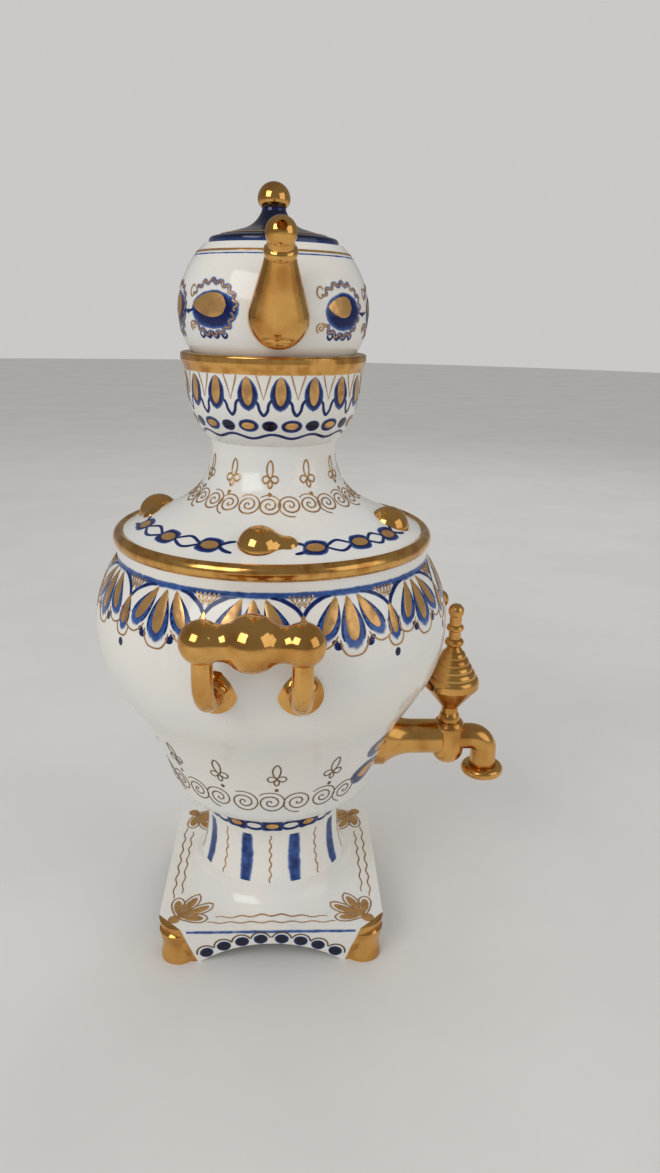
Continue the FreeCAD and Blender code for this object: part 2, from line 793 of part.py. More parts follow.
def make_tap_key():
    """The turning key: a cross-bored plug below, a ringed cone and a beaded finial above."""
    body = new_body("tap_key")
    foot = S.tap_barrel_floor + S.key_plug_end_gap - S.tap_barrel_depth
    cone_edge = S.key_cone_rise + S.key_cone_edge
    key = Outline(new_sketch(body, "tap_key_outline", "XZ_Plane"), 0, foot)
    key.line(S.key_plug_radius, foot)
    key.line(S.key_plug_radius, barrel_top)
    key.line(S.key_collar_radius, barrel_top)
    key.arc(S.key_neck_radius, barrel_top + S.key_collar_height, level="start")
    key.line(S.key_neck_radius, S.key_neck_rise)
    key.line(S.key_cone_radius, S.key_cone_rise)
    key.line(S.key_cone_radius, cone_edge)
    ring_step = (S.key_cone_radius - S.key_cone_top_radius) / KEY_CONE_RINGS
    ring_lift = (S.key_cone_top_rise - cone_edge) / KEY_CONE_RINGS
    for ring in range(1, KEY_CONE_RINGS + 1):
        key.arc(S.key_cone_radius - ring_step * ring, cone_edge + ring_lift * ring, level="start")
    for radius, rise, height in (
        (S.key_bead_radius, S.key_bead_rise, S.key_bead_height),
        (S.key_ring_radius, S.key_ring_rise, S.key_ring_height),
    ):
        key.line(S.key_waist_radius, rise - height / 2)
        key.arc(radius, rise, level="end")
        key.arc(S.key_waist_radius, rise + height / 2)
    ball_foot = root(S.finial_ball_radius * S.finial_ball_radius - S.key_waist_radius * S.key_waist_radius)
    key.line(S.key_waist_radius, S.finial_rise - ball_foot)
    key.arc(S.finial_ball_radius, S.finial_rise, level="end")
    key.arc(0, S.finial_rise + S.finial_ball_radius)
    revolve(body, key.close(), "tap_key_turned")
    cross = circle(new_sketch(body, "tap_key_cross", "XZ_Plane"), 0, 0, S.tap_bore_radius)
    pocket(body, cross, "tap_key_cross_bore", S.key_plug_radius, both=True)
    return on_key_axis(body)


def make_finial_prop(wedge):
    """A small knob on the urn's wall beside the finial."""
    knob = primitive("Part::Sphere", "finial_prop_ball", Radius=S.finial_prop_radius)
    prop_reach = S.urn_belly_radius - S.finial_prop_sink
    place(knob, prop_reach, S.finial_prop_shift, belly_level + S.finial_prop_rise)
    return cut("finial_prop", knob, wedge)


# Cover

step_level = urn_top + S.cover_step_rise
shoulder_level = urn_top + S.cover_shoulder_rise
neck_level = urn_top + S.cover_neck_rise
mouth_bore = S.urn_mouth_radius - S.urn_wall
cover_slope = (shoulder_level - step_level) / (S.cover_step_radius - S.cover_shoulder_radius)


def cover_level(radius):
    """Height of the cover's sloping top at a radius."""
    return step_level + (S.cover_step_radius - radius) * cover_slope


def cover_outside(outline):
    """The cover's curve from the urn's lip over its rim and shoulder to the top of its neck."""
    outline.line(S.urn_mouth_radius, urn_top)
    outline.arc(S.urn_mouth_radius + S.cover_rim_overhang, urn_top + S.cover_rim_swell_rise, level="end")
    outline.arc(S.cover_rim_crest_radius, urn_top + S.cover_rim_crest_rise)
    outline.line(S.cover_step_radius, step_level)
    outline.line(S.cover_shoulder_radius, shoulder_level)
    outline.arc(S.cover_neck_radius, neck_level, level="end")
    outline.arc(S.cover_top_radius, cover_top)
    return outline


def make_cover_envelope():
    body = new_body("cover_envelope")
    foot = urn_top - S.cover_plug_depth
    outline = Outline(new_sketch(body, "cover_envelope_outline", "XZ_Plane"), 0, foot)
    outline.line(S.urn_mouth_radius, foot)
    cover_outside(outline)
    outline.line(0, cover_top)
    revolve(body, outline.close(), "cover_envelope_turned")
    return body


def make_cover():
    """The lift-off cover: a plug that drops into the urn's mouth, a rim, a shoulder and a neck."""
    body = new_body("cover")
    plug_radius = mouth_bore - S.cover_plug_clearance
    plug_inner = plug_radius - S.cover_plug_wall
    plug_foot = urn_top - S.cover_plug_depth
    outline = Outline(new_sketch(body, "cover_outline", "XZ_Plane"), plug_inner, plug_foot)
    outline.line(plug_radius, plug_foot)
    outline.line(plug_radius, urn_top)
    cover_outside(outline)
    outline.line(S.cover_top_radius - S.cover_wall, cover_top)
    outline.line(S.cover_neck_radius - S.cover_wall, neck_level)
    outline.arc(S.cover_shoulder_radius, shoulder_level - S.cover_wall, level="start")
    outline.line(plug_inner, cover_level(plug_inner) - S.cover_wall)
    revolve(body, outline.close(), "cover_turned")
    return body


def make_cover_nut(label, angle, envelope):
    """A pear-shaped lump, half sunk in the cover's shoulder like the head of a clamping nut."""
    body = new_body(f"{label}_blank")
    sketch = new_sketch(body, f"{label}_outline", "YZ_Plane")
    beads = [(-S.nut_shift, S.nut_body_radius), (S.nut_tip_offset - S.nut_shift, S.nut_tip_radius)]
    revolve(body, bead_chain(sketch, beads, S.nut_fillet), f"{label}_turned", "H_Axis")
    level = cover_level(S.nut_reach) - S.nut_sink
    place(body, S.nut_reach * cosine(angle), S.nut_reach * sine(angle), level, turn=angle)
    return cut(label, body, envelope)


def make_crown_bowl():
    """The crown on the neck: a flared bowl whose recess takes the teapot's foot."""
    body = new_body("crown_bowl")
    recess_radius = pot_seat_radius + S.pot_seat_clearance
    recess_floor_radius = recess_radius - S.crown_recess_taper
    rim_radius = recess_radius + S.crown_rim_wall
    waist_level = cover_top + S.crown_waist_rise
    inner_base = S.cover_top_radius - S.cover_wall
    ceiling = pot_base - S.crown_floor
    crown = Outline(new_sketch(body, "crown_outline", "XZ_Plane"), inner_base, cover_top)
    crown.line(S.cover_top_radius, cover_top)
    crown.arc(rim_radius - S.crown_waist_inset, waist_level, level="end")
    crown.arc(rim_radius, crown_top - S.crown_rim_height)
    crown.line(rim_radius, crown_top - S.crown_rim_round)
    crown.arc(rim_radius - S.crown_rim_round, crown_top)
    crown.line(recess_radius, crown_top)
    crown.line(recess_floor_radius, pot_base)
    crown.line(0, pot_base)
    crown.line(0, ceiling)
    crown.line(recess_floor_radius, ceiling)
    crown.arc(inner_base, cover_top, level="start")
    revolve(body, crown.close(), "crown_turned")
    return body


# Teapot

pot_belly_level = pot_base + S.pot_belly_rise
pot_mouth_bore = S.pot_mouth_radius - S.pot_wall


def pot_side(outline, inset):
    """The pot's curve from its foot to its mouth, drawn inset from the outside."""
    outline.arc(S.pot_belly_radius - inset, pot_belly_level, level="end")
    outline.arc(S.pot_mouth_radius - inset, pot_top)
    outline.line(0, pot_top)
    return outline.close()


def turn_pot_outside(body):
    """The pot's filled outside, with its foot ring and the curve that drops into the crown."""
    foot_top = pot_base + S.pot_foot_height
    outline = Outline(new_sketch(body, f"{body.Label}_outline", "XZ_Plane"), 0, pot_base)
    outline.line(S.pot_foot_radius, pot_base)
    outline.line(S.pot_foot_radius, foot_top)
    outline.line(pot_seat_radius, crown_top)
    revolve(body, pot_side(outline, 0), f"{body.Label}_turned")
    return body


def make_teapot_pot():
    """The globular pot: hollow, open at the mouth, with a foot ring and strainer holes."""
    body = turn_pot_outside(new_body("teapot_pot"))
    floor = pot_base + S.pot_foot_height + S.pot_floor
    inside = Outline(new_sketch(body, "pot_hollow", "XZ_Plane"), 0, floor)
    inside.line(S.pot_foot_radius - S.pot_wall, floor)
    revolve(body, pot_side(inside, S.pot_wall), "pot_inside", kind="PartDesign::Groove")

    ring_sketch = new_sketch(body, "pot_foot_recess", "XY_Plane", z=pot_base)
    recess = circle(ring_sketch, 0, 0, S.pot_foot_radius - S.pot_foot_width)
    pocket(body, recess, "pot_foot_ring", S.pot_foot_recess, reverse=True)

    level = pot_base + S.strainer_rise
    holes = new_sketch(body, "strainer_hole", "XZ_Plane", y=level)
    circle(holes, 0, S.strainer_ring, S.strainer_radius)
    strainer = pocket(body, holes, "strainer", S.pot_belly_radius, reverse=True)
    doc.recompute()
    pattern = body.newObject("PartDesign::PolarPattern", "strainer_holes")
    pattern.Originals = [strainer]
    pattern.Axis = (holes, ["N_Axis"])
    pattern.Angle = FULL_TURN
    pattern.Occurrences = STRAINER_HOLES
    body.Tip = pattern
    return place(body, turn=S.teapot_turn)


def make_teapot_spout(envelope):
    """The pear-shaped spout, leaning out from the pot, with a collar and a ball lip, all bored."""
    body = new_body("teapot_spout_blank")
    reach = S.pot_belly_radius + S.spout_sink
    level = pot_base + S.spout_rise
    spot = {"x": -reach, "y": level, "turn": S.spout_lean}
    shoulder = root(S.spout_radius * S.spout_radius - S.spout_shoulder_rise * S.spout_shoulder_rise)
    throat = root(S.spout_lip_radius * S.spout_lip_radius - S.spout_throat_radius * S.spout_throat_radius)
    pear = Outline(new_sketch(body, "spout_outline", "YZ_Plane", **spot), 0, -S.spout_radius)
    pear.arc(shoulder, S.spout_shoulder_rise, plumb="start")
    pear.line(S.spout_neck_radius, S.spout_neck_rise)
    pear.arc(S.spout_collar_radius, S.spout_collar_rise, level="end")
    pear.arc(S.spout_throat_radius, S.spout_throat_rise)
    pear.line(S.spout_throat_radius, S.spout_lip_rise - throat)
    pear.arc(S.spout_lip_radius, S.spout_lip_rise, level="end")
    pear.arc(0, S.spout_lip_rise + S.spout_lip_radius)
    revolve(body, pear.close(), "spout_turned")

    inner = S.spout_radius - S.spout_wall
    bore = Outline(new_sketch(body, "spout_hollow", "YZ_Plane", **spot), 0, -inner)
    bore.arc(inner, 0, level="end")
    bore.line(S.spout_bore_radius, S.spout_neck_rise)
    bore.line(S.spout_bore_radius, S.spout_lip_rise)
    bore.line(0, S.spout_lip_rise)
    revolve(body, bore.close(), "spout_inside", kind="PartDesign::Groove")

    lip_reach = reach + S.spout_lip_rise * sine(S.spout_lean)
    lip_level = level + S.spout_lip_rise * cosine(S.spout_lean)
    mouth_sketch = new_sketch(body, "spout_mouth", "XZ_Plane")
    aim = FreeCAD.Vector(-1, 0, 0)
    place(mouth_sketch, 0, lip_level, lip_reach, aim, S.spout_mouth_tilt, "AttachmentOffset")
    mouth = circle(mouth_sketch, 0, 0, S.spout_bore_radius)
    pocket(body, mouth, "spout_mouth_bore", 2 * S.spout_lip_radius, reverse=True)
    place(body, turn=S.teapot_turn)
    return cut("teapot_spout", body, envelope)


def make_teapot_handle(envelope):
    """A ring handle on the pot's back, opposite the spout."""
    body = new_body("teapot_handle_ring")
    reach = S.pot_belly_radius + S.ring_handle_offset
    level = pot_base + S.ring_handle_rise
    section = new_sketch(body, "teapot_handle_section", "XZ_Plane", y=level, z=-reach)
    circle(section, 0, S.ring_handle_radius, S.ring_handle_thickness)
    revolve(body, section, "teapot_handle_turned", "H_Axis")
    place(body, turn=S.teapot_turn)
    return cut("teapot_handle", body, envelope)


lid_seat_level = pot_top + S.lid_seat_rise


def make_teapot_lid():
    """The lid: a skirt that sweeps up to the knob, and a flange that drops into the pot's mouth."""
    body = new_body("teapot_lid")
    edge = S.pot_mouth_radius - S.lid_overhang
    flange = pot_mouth_bore - S.lid_flange_clearance
    flange_inner = flange - S.lid_flange_wall
    lid = Outline(new_sketch(body, "lid_outline", "XZ_Plane"), flange_inner, pot_top - S.lid_flange_depth)
    lid.line(flange, pot_top - S.lid_flange_depth)
    lid.line(flange, pot_top)
    lid.line(edge, pot_top)
    lid.line(edge, pot_top + S.lid_edge_height)
    lid.arc(S.lid_brow_radius, pot_top + S.lid_brow_rise, level="start")
    lid.line(S.lid_skirt_radius, pot_top + S.lid_skirt_rise)
    lid.arc(S.lid_seat_radius, lid_seat_level)
    lid.line(0, lid_seat_level)
    lid.line(0, pot_top + S.lid_ceiling_rise)
    lid.line(S.lid_ceiling_radius, pot_top + S.lid_ceiling_rise)
    lid.line(flange_inner, pot_top + S.lid_edge_height)
    revolve(body, lid.close(), "lid_turned")
    return body


def make_lid_knob():
    """The lid's ball knob on its short neck."""
    body = new_body("lid_knob")
    neck_level_knob = lid_seat_level + S.knob_neck_rise
    middle = lid_seat_level + S.knob_ball_rise
    knob = Outline(new_sketch(body, "knob_outline", "XZ_Plane"), 0, lid_seat_level)
    knob.line(S.lid_seat_radius, lid_seat_level)
    knob.line(S.knob_neck_radius, neck_level_knob)
    knob.arc(S.knob_ball_radius, middle, level="end")
    knob.arc(0, middle + S.knob_ball_radius)
    revolve(body, knob.close(), "knob_turned")
    return body


# Assembly

parts = []
feet = []
for depth_name, side_y in (("front", -1), ("rear", 1)):
    for width_name, side_x in (("left", -1), ("right", 1)):
        feet.append(make_foot(f"corner_foot_{depth_name}_{width_name}", side_x, side_y))
parts += feet
parts.append(cut("plinth", make_plinth_block(), fuse("all_feet", *feet)))

parts.append(make_urn_body())

for end, turn in (("front", S.handle_turn), ("rear", S.handle_turn + FULL_TURN / 2)):
    wedge = make_urn_wedge(f"urn_{end}_wedge", turn - FULL_TURN / 4)
    bar = make_handle_bar(f"{end}_handle_bar", turn)
    parts.append(bar)
    for name, side in (("left", -1), ("right", 1)):
        parts.append(make_handle_post(f"{end}_handle_post_{name}", turn, side, bar, wedge))
    parts.append(make_handle_prop(f"{end}_handle_prop", turn, bar, wedge))

tap_wedge = make_urn_wedge("urn_tap_wedge", as_size(0))
parts.append(make_tap_body(tap_wedge))
parts.append(make_tap_key())
parts.append(make_finial_prop(tap_wedge))

cover_envelope = make_cover_envelope()
parts.append(make_cover())
for name, angle in (
    ("front", S.nut_front_angle),
    ("right", S.nut_right_angle),
    ("rear", S.nut_rear_angle),
    ("left", S.nut_left_angle),
):
    parts.append(make_cover_nut(f"cover_nut_{name}", angle, cover_envelope))
parts.append(make_crown_bowl())

pot_envelope = turn_pot_outside(new_body("pot_envelope"))
parts.append(make_teapot_pot())
parts.append(make_teapot_spout(pot_envelope))
parts.append(make_teapot_handle(pot_envelope))
parts.append(make_teapot_lid())
parts.append(make_lid_knob())

doc.recompute()

for item in doc.Objects:
    if "Invalid" in item.State or "Error" in item.State:
        raise RuntimeError(f"{item.Label} did not compute: {item.State}")
for item in parts:
    if item.Shape.isNull() or not item.Shape.isValid():
        raise RuntimeError(f"{item.Label} has no valid shape")

os.makedirs("parts", exist_ok=True)
for item in parts:
    item.Shape.exportStep(f"parts/{item.Label}.step")
    print(f"{item.Label}: {len(item.Shape.Solids)} solid, {item.Shape.Volume:.0f} mm3")
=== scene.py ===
"""Glazes, gilds and paints the porcelain samovar set, and sets it on a pale studio floor."""

import math
import random

import bpy
from bpy.props import FloatProperty, FloatVectorProperty, IntProperty, PointerProperty
from bpy.types import Operator, Panel, PropertyGroup
from mathutils import Matrix, Vector
from mathutils.bvhtree import BVHTree


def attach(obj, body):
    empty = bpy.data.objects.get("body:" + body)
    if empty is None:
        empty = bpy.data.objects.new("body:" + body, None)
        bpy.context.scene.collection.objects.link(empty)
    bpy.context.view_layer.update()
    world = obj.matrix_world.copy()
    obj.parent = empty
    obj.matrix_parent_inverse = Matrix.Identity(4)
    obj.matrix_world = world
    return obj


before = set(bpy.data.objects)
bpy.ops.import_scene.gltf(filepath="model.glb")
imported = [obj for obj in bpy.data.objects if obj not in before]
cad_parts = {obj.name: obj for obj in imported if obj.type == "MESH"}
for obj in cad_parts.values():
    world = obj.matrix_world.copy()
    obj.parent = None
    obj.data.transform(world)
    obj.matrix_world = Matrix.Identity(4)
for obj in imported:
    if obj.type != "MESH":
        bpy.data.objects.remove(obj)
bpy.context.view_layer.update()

bl_info = {
    "name": "Porcelain Samovar Set",
    "version": (1, 0, 0),
    "blender": (4, 5, 0),
    "location": "View3D > Sidebar > Samovar",
    "description": "Glazes, gilds and paints a porcelain samovar set and lights it",
    "category": "Object",
}

MM = 0.001  # the ornaments are drawn in millimetres
FAR = 0.4  # rays start this far out or this high, clear of the set
RING_STEPS = 240
LEAF_STEPS = 14
GLAZE_IOR = 1.52
PAINT_IOR = 1.45
COBALT_SLOT = "cobalt_glaze"
GOLD_SLOT = "gilding"
PAINTS = {  # what a brush's piece is called after, and its paint
    "cobalt": "cobalt_brushed",
    "ink": "cobalt_ink",
    "gold": "gold_leafed",
    "gold_lines": "gold_thin",
    "brown_lines": "gold_dark",
}
PORCELAIN = ("urn_body", "teapot_pot")
TAP_NODES = ("tap_body", "tap_key", "finial_prop")
ENDS = ("front", "rear")
SIDES = ("left", "right")
GILT_NODES = (
    ["teapot_spout", "teapot_handle"]
    + [f"cover_nut_{at}" for at in ENDS + SIDES]
    + [f"{end}_handle_{part}" for end in ENDS for part in ("bar", "prop")]
    + [f"{end}_handle_post_{side}" for end in ENDS for side in SIDES]
    + [f"corner_foot_{end}_{side}" for end in ENDS for side in SIDES]
)


def length(name, default, description):
    """A length in metres for the sidebar."""
    return FloatProperty(
        name=name, description=description, default=default, unit="LENGTH", precision=5)


def bearing(name, degrees, description):
    """An angle; bearings run about the upright axis, with the camera at -90 degrees."""
    return FloatProperty(
        name=name, description=description, default=math.radians(degrees), subtype="ANGLE")


def colour(name, default, description):
    """A paint or glaze colour for the sidebar."""
    return FloatVectorProperty(
        name=name, description=description, default=default, size=3, subtype="COLOR",
        min=0.0, max=1.0)


def number(name, default, description):
    """A whole number, such as how often an ornament repeats."""
    return IntProperty(name=name, description=description, default=default, min=1)


def amount(name, default, description):
    """A plain strength or share."""
    return FloatProperty(name=name, description=description, default=default, min=0.0)


class SamovarColours(PropertyGroup):
    """Colours of the glazes, the gold and the studio."""

    white: colour("White glaze", (0.83, 0.805, 0.745), "Warm white of the porcelain")
    white_cool: colour("Cool white", (0.78, 0.78, 0.76), "Where the glaze lies thick")
    speck: colour("Specks", (0.42, 0.42, 0.45), "Fine grey specks in the white glaze")
    cobalt: colour("Cobalt", (0.0025, 0.009, 0.08), "Cobalt where the brush was full")
    cobalt_wash: colour("Cobalt wash", (0.045, 0.13, 0.42), "Cobalt thinned at a stroke's edge")
    ink: colour("Ink", (0.002, 0.004, 0.022), "Nearly black cobalt of the dots")
    gold: colour("Gold", (0.78, 0.43, 0.125), "Bright burnished gold")
    gold_deep: colour("Deep gold", (0.55, 0.25, 0.06), "Gold in its thinner places")
    line_gold: colour("Gold paint", (0.78, 0.45, 0.16), "Gold of the painted leaves and lines")
    line_dark: colour("Dark gold", (0.13, 0.075, 0.035), "Nearly brown gold of the lowest lines")
    line_brown: colour("Brown gold", (0.42, 0.22, 0.085), "Thin gold that lets the glaze through")
    floor: colour("Floor", (0.74, 0.73, 0.71), "Pale studio floor")
    sky: colour("Surround", (0.84, 0.83, 0.81), "Pale surround of the studio")


class SamovarBrush(PropertyGroup):
    """How thick and how wide the paint lies."""

    cobalt_lift: length("Cobalt lift", 0.00005, "Height of the cobalt over the glaze")
    gold_lift: length("Gold lift", 0.00010, "Height of the gold's edge over the glaze")
    gold_rise: length("Gold rise", 0.00010, "How far a gold stroke rises at its middle")
    gold_line: length("Gold line", 0.00058, "Width of a gold line")
    brown_line: length("Brown line", 0.00052, "Width of a thin brown-gold line")
    blue_line: length("Blue line", 0.0013, "Width of a thin cobalt line")
    wobble: length("Wobble", 0.00018, "How far a hand-painted stroke strays")
    seed: number("Hand", 11, "Start of the painter's small irregularities")


class SamovarTeapot(PropertyGroup):
    """Ornament of the little teapot."""

    spout: bearing("Spout", -86.4, "Bearing of the spout")
    step: bearing("Medallion step", 40.5, "Angle from one medallion to the next")
    level: length("Medallion level", 0.2396, "Height of the medallions' middle")
    gold_ring: length("Gold ring", 0.2573, "Height of the gold ring below the mouth")
    blue_ring: length("Blue ring", 0.2562, "Height of the blue ring below it")
    ring_width: length("Ring width", 0.0009, "Width of the gold ring")
    lid_ring: length("Lid ring radius", 0.0176, "Radius of the gold ring on the lid")
    knob_neck: length("Knob neck", 0.2721, "Height up to which the knob's neck is cobalt")


class SamovarCrown(PropertyGroup):
    """Ornament of the crown bowl."""

    petals: number("Petals", 17, "Almond petals round the bowl")
    start: bearing("First petal", -84.7, "Bearing of one petal")
    petal_top: length("Petal top", 0.2190, "Height of the petals' upper ends")
    petal_drop: length("Petal length", 0.0122, "Length of a petal")
    petal_width: length("Petal width", 0.0076, "Width of a petal")
    ovals: number("Ovals", 24, "Ovals round the bowl's foot, gold-filled and dark by turns")
    oval_start: bearing("First oval", -106.7, "Bearing of one gold-filled oval")
    oval_level: length("Oval level", 0.2026, "Height of the ovals")
    swag_level: length("Swag level", 0.1998, "Height of the blue swag line")
    gold_from: length("Gold from", 0.2192, "Height at which the gilt rim begins")


class SamovarCover(PropertyGroup):
    """Ornament of the cover's neck and shoulder."""

    fleurs: number("Fleurs", 11, "Gold pendants round the neck")
    fleur_start: bearing("First fleur", -92.1, "Bearing of one pendant")
    fleur_level: length("Fleur level", 0.1842, "Height of the pendants' crossing")
    spirals: number("Spirals", 25, "Gold spirals round the foot of the neck")
    spiral_start: bearing("First spiral", -92.1, "Bearing of one spiral")
    spiral_level: length("Spiral level", 0.1762, "Height of the spirals' middle")
    spiral_size: length("Spiral size", 0.0045, "Radius of a spiral")
    garland: length("Garland radius", 0.0475, "Radius of the garlands on the shoulder")
    gold_beyond: length("Gold beyond", 0.0549, "Radius from which the rim is gilt")


class SamovarUrn(PropertyGroup):
    """Ornament of the urn."""

    fans: number("Fans", 12, "Fans of three petals round the urn")
    start: bearing("First fan", -95.2, "Bearing of one fan")
    band: length("Band level", 0.1535, "Height of the blue band under the mouth")
    band_width: length("Band width", 0.0027, "Width of the blue band")
    petal: length("Petal length", 0.0214, "Length of a fan's middle petal")
    petal_width: length("Petal width", 0.0080, "Width of a fan's petals")
    pendant: length("Pendant level", 0.1484, "Height of the hanging petals' upper ends")
    fleurs: number("Fleurs", 14, "Gold fleurs round the lower urn")
    fleur_start: bearing("First fleur", -87.5, "Bearing of one fleur")
    fleur_level: length("Fleur level", 0.0822, "Height of the fleurs' crossing")
    spirals: number("Spirals", 27, "Gold spirals under the fleurs")
    spiral_start: bearing("First spiral", -90.2, "Bearing of one spiral")
    spiral_level: length("Spiral level", 0.0698, "Height of the spirals' middle")
    spiral_size: length("Spiral size", 0.0057, "Radius of a spiral")
    tap_level: length("Tap level", 0.0750, "Height of the tap's pipe")


class SamovarPlinth(PropertyGroup):
    """Ornament of the stem and the plinth."""

    links: number("Links", 12, "Cobalt links in the chain round the stem")
    link_start: bearing("First link", -89.6, "Bearing of one link")
    link_level: length("Link level", 0.0508, "Height of the chain")
    stripes: number("Stripes", 9, "Cobalt stripes down the stem")
    stripe_start: bearing("First stripe", -111.3, "Bearing of one stripe")
    stripe_top: length("Stripe top", 0.0462, "Height of the stripes' upper ends")
    stripe_foot: length("Stripe foot", 0.0266, "Height of the stripes' lower ends")
    stripe_width: length("Stripe width", 0.0060, "Width of a stripe")
    corner: length("Corner", 0.0362, "Distance of a palmette's root from the middle lines")
    outer_line: length("Outer wavy line", 0.0392, "Distance of the outer line from the middle")
    inner_line: length("Inner wavy line", 0.0361, "Distance of the inner line from the middle")
    edge_level: length("Edge line", 0.0150, "Height of the blue line under the top edge")


class SamovarStudio(PropertyGroup):
    """Camera, lamps and floor."""

    lens: amount("Lens", 26.756, "Focal length in millimetres on a 36 mm high sensor")
    pitch: bearing("Pitch", 17.620, "How far the camera looks down")
    yaw: bearing("Yaw", 2.907, "How far the camera turns to the right")
    roll: bearing("Roll", 1.253, "How far the camera leans")
    eye: FloatVectorProperty(
        name="Eye", description="Where the camera stands", size=3, subtype="XYZ",
        unit="LENGTH", default=(0.005437, -0.318291, 0.239729))
    floor_radius: length("Floor radius", 4.0, "Radius of the studio floor")
    key: amount("Key lamp", 3.9, "Power of the big lamp at the left front")
    fill: amount("Fill lamp", 1.2, "Power of the lamp at the right")
    back: amount("Back lamp", 1.8, "Power of the lamp behind")
    surround: amount("Surround light", 0.70, "Light that the surround gives")
    seen: amount("Seen surround", 0.70, "Brightness of the surround in the picture")
    mirrored: amount("Mirrored surround", 0.28, "Brightness of the surround in gold and glaze")


class Wire:
    """A shader value that takes part in Python sums."""

    def __init__(self, finish, socket):
        self.finish = finish
        self.socket = socket

    def work(self, operation, first, second):
        return self.finish.node("ShaderNodeMath", {"operation": operation}, {0: first, 1: second})

    def __add__(self, other):
        return self.work("ADD", self, other)

    def __radd__(self, other):
        return self.work("ADD", other, self)

    def __sub__(self, other):
        return self.work("SUBTRACT", self, other)

    def __rsub__(self, other):
        return self.work("SUBTRACT", other, self)

    def __mul__(self, other):
        return self.work("MULTIPLY", self, other)

    def __rmul__(self, other):
        return self.work("MULTIPLY", other, self)

    def __pow__(self, other):
        return self.work("POWER", self, other)

    def __rpow__(self, other):
        return self.work("POWER", other, self)

    def __abs__(self):
        return self.work("ABSOLUTE", self, 0.0)


class Finish:
    """A material or surround being mixed: its nodes and its main shader."""

    def __init__(self, owner, shader):
        owner.use_nodes = True
        self.owner = owner
        self.tree = owner.node_tree
        self.shader = self.tree.nodes[shader]

    def node(self, kind, settings=None, inputs=None, output=0):
        """Any node: its settings first, then the values or links of its sockets."""
        made = self.tree.nodes.new(kind)
        for name, value in (settings or {}).items():
            setattr(made, name, value)
        for name, value in (inputs or {}).items():
            self.feed(made.inputs[name], value)
        return Wire(self, made.outputs[output])

    def feed(self, socket, value):
        if isinstance(value, Wire):
            self.tree.links.new(value.socket, socket)
        else:
            socket.default_value = value

    def set(self, values):
        for name, value in values.items():
            self.feed(self.shader.inputs[name], value)

    def place(self):
        return self.node("ShaderNodeTexCoord", output="Object")

    def noise(self, scale, detail=3.0):
        return self.node(
            "ShaderNodeTexNoise", None,
            {"Vector": self.place(), "Scale": scale, "Detail": detail}, "Fac")

    def ease(self, value, low, high):
        return self.node(
            "ShaderNodeMapRange", {"interpolation_type": "SMOOTHSTEP"},
            {"Value": value, "From Min": low, "From Max": high}, "Result")

    def mix(self, first, second, share):
        return self.node(
            "ShaderNodeMix", {"data_type": "RGBA"}, {0: share, 6: first, 7: second}, 2)

    def bump(self, height, strength, distance):
        return self.node(
            "ShaderNodeBump", None,
            {"Height": height, "Strength": strength, "Distance": distance}, "Normal")

    def measure(self, axis):
        return self.node("ShaderNodeSeparateXYZ", None, {"Vector": self.place()}, axis)

    def radius(self):
        across, along = self.measure("X"), self.measure("Y")
        return (across * across + along * along) ** 0.5


def rgba(tint):
    """A sidebar colour as a shader colour."""
    return (*tint, 1.0)


def new_finish(name):
    """A fresh material to be mixed."""
    return Finish(bpy.data.materials.new(name), "Principled BSDF")


def white_glaze(name, tints, gold_mask=None):
    """Glossy white glaze; gold_mask gives the share of gilding from the finish."""
    finish = new_finish(name)
    cloud = finish.noise(34.0)
    fine = finish.noise(210.0, 2.0)
    specks = finish.ease(finish.noise(900.0, 1.0), 0.76, 0.80)
    base = finish.mix(rgba(tints.white), rgba(tints.white_cool), finish.ease(cloud, 0.35, 0.68))
    base = finish.mix(base, rgba(tints.speck), specks * 0.35)
    rough = cloud * 0.07 + fine * 0.04 + 0.055
    if gold_mask:
        mask = gold_mask(finish)
        gilt = finish.mix(rgba(tints.gold), rgba(tints.gold_deep), finish.ease(fine, 0.40, 0.70))
        base = finish.mix(base, gilt, mask)
        rough = rough + mask * 0.06
        finish.set({"Metallic": mask})
    finish.set({
        "Base Color": base,
        "Roughness": rough,
        "Normal": finish.bump(finish.noise(62.0), 0.12, 0.0006),
        "IOR": GLAZE_IOR,
    })
    return finish.owner


def cobalt_glaze(name, tints, thin_at, full_at):
    """Deep cobalt glaze, bluer below the level full_at and thinnest from thin_at down."""
    finish = new_finish(name)
    cloud = finish.noise(120.0)
    pools = finish.ease(cloud, 0.42, 0.72)
    base = finish.mix(rgba(tints.ink), rgba(tints.cobalt), pools * 0.75)
    thin = 1.0 - finish.ease(finish.measure("Z") + cloud * 0.0012, thin_at, full_at)
    base = finish.mix(base, rgba(tints.cobalt_wash), thin * 0.40)
    finish.set({
        "Base Color": base,
        "Roughness": cloud * 0.08 + 0.05,
        "Normal": finish.bump(finish.noise(75.0), 0.10, 0.0006),
        "IOR": GLAZE_IOR,
    })
    return finish.owner


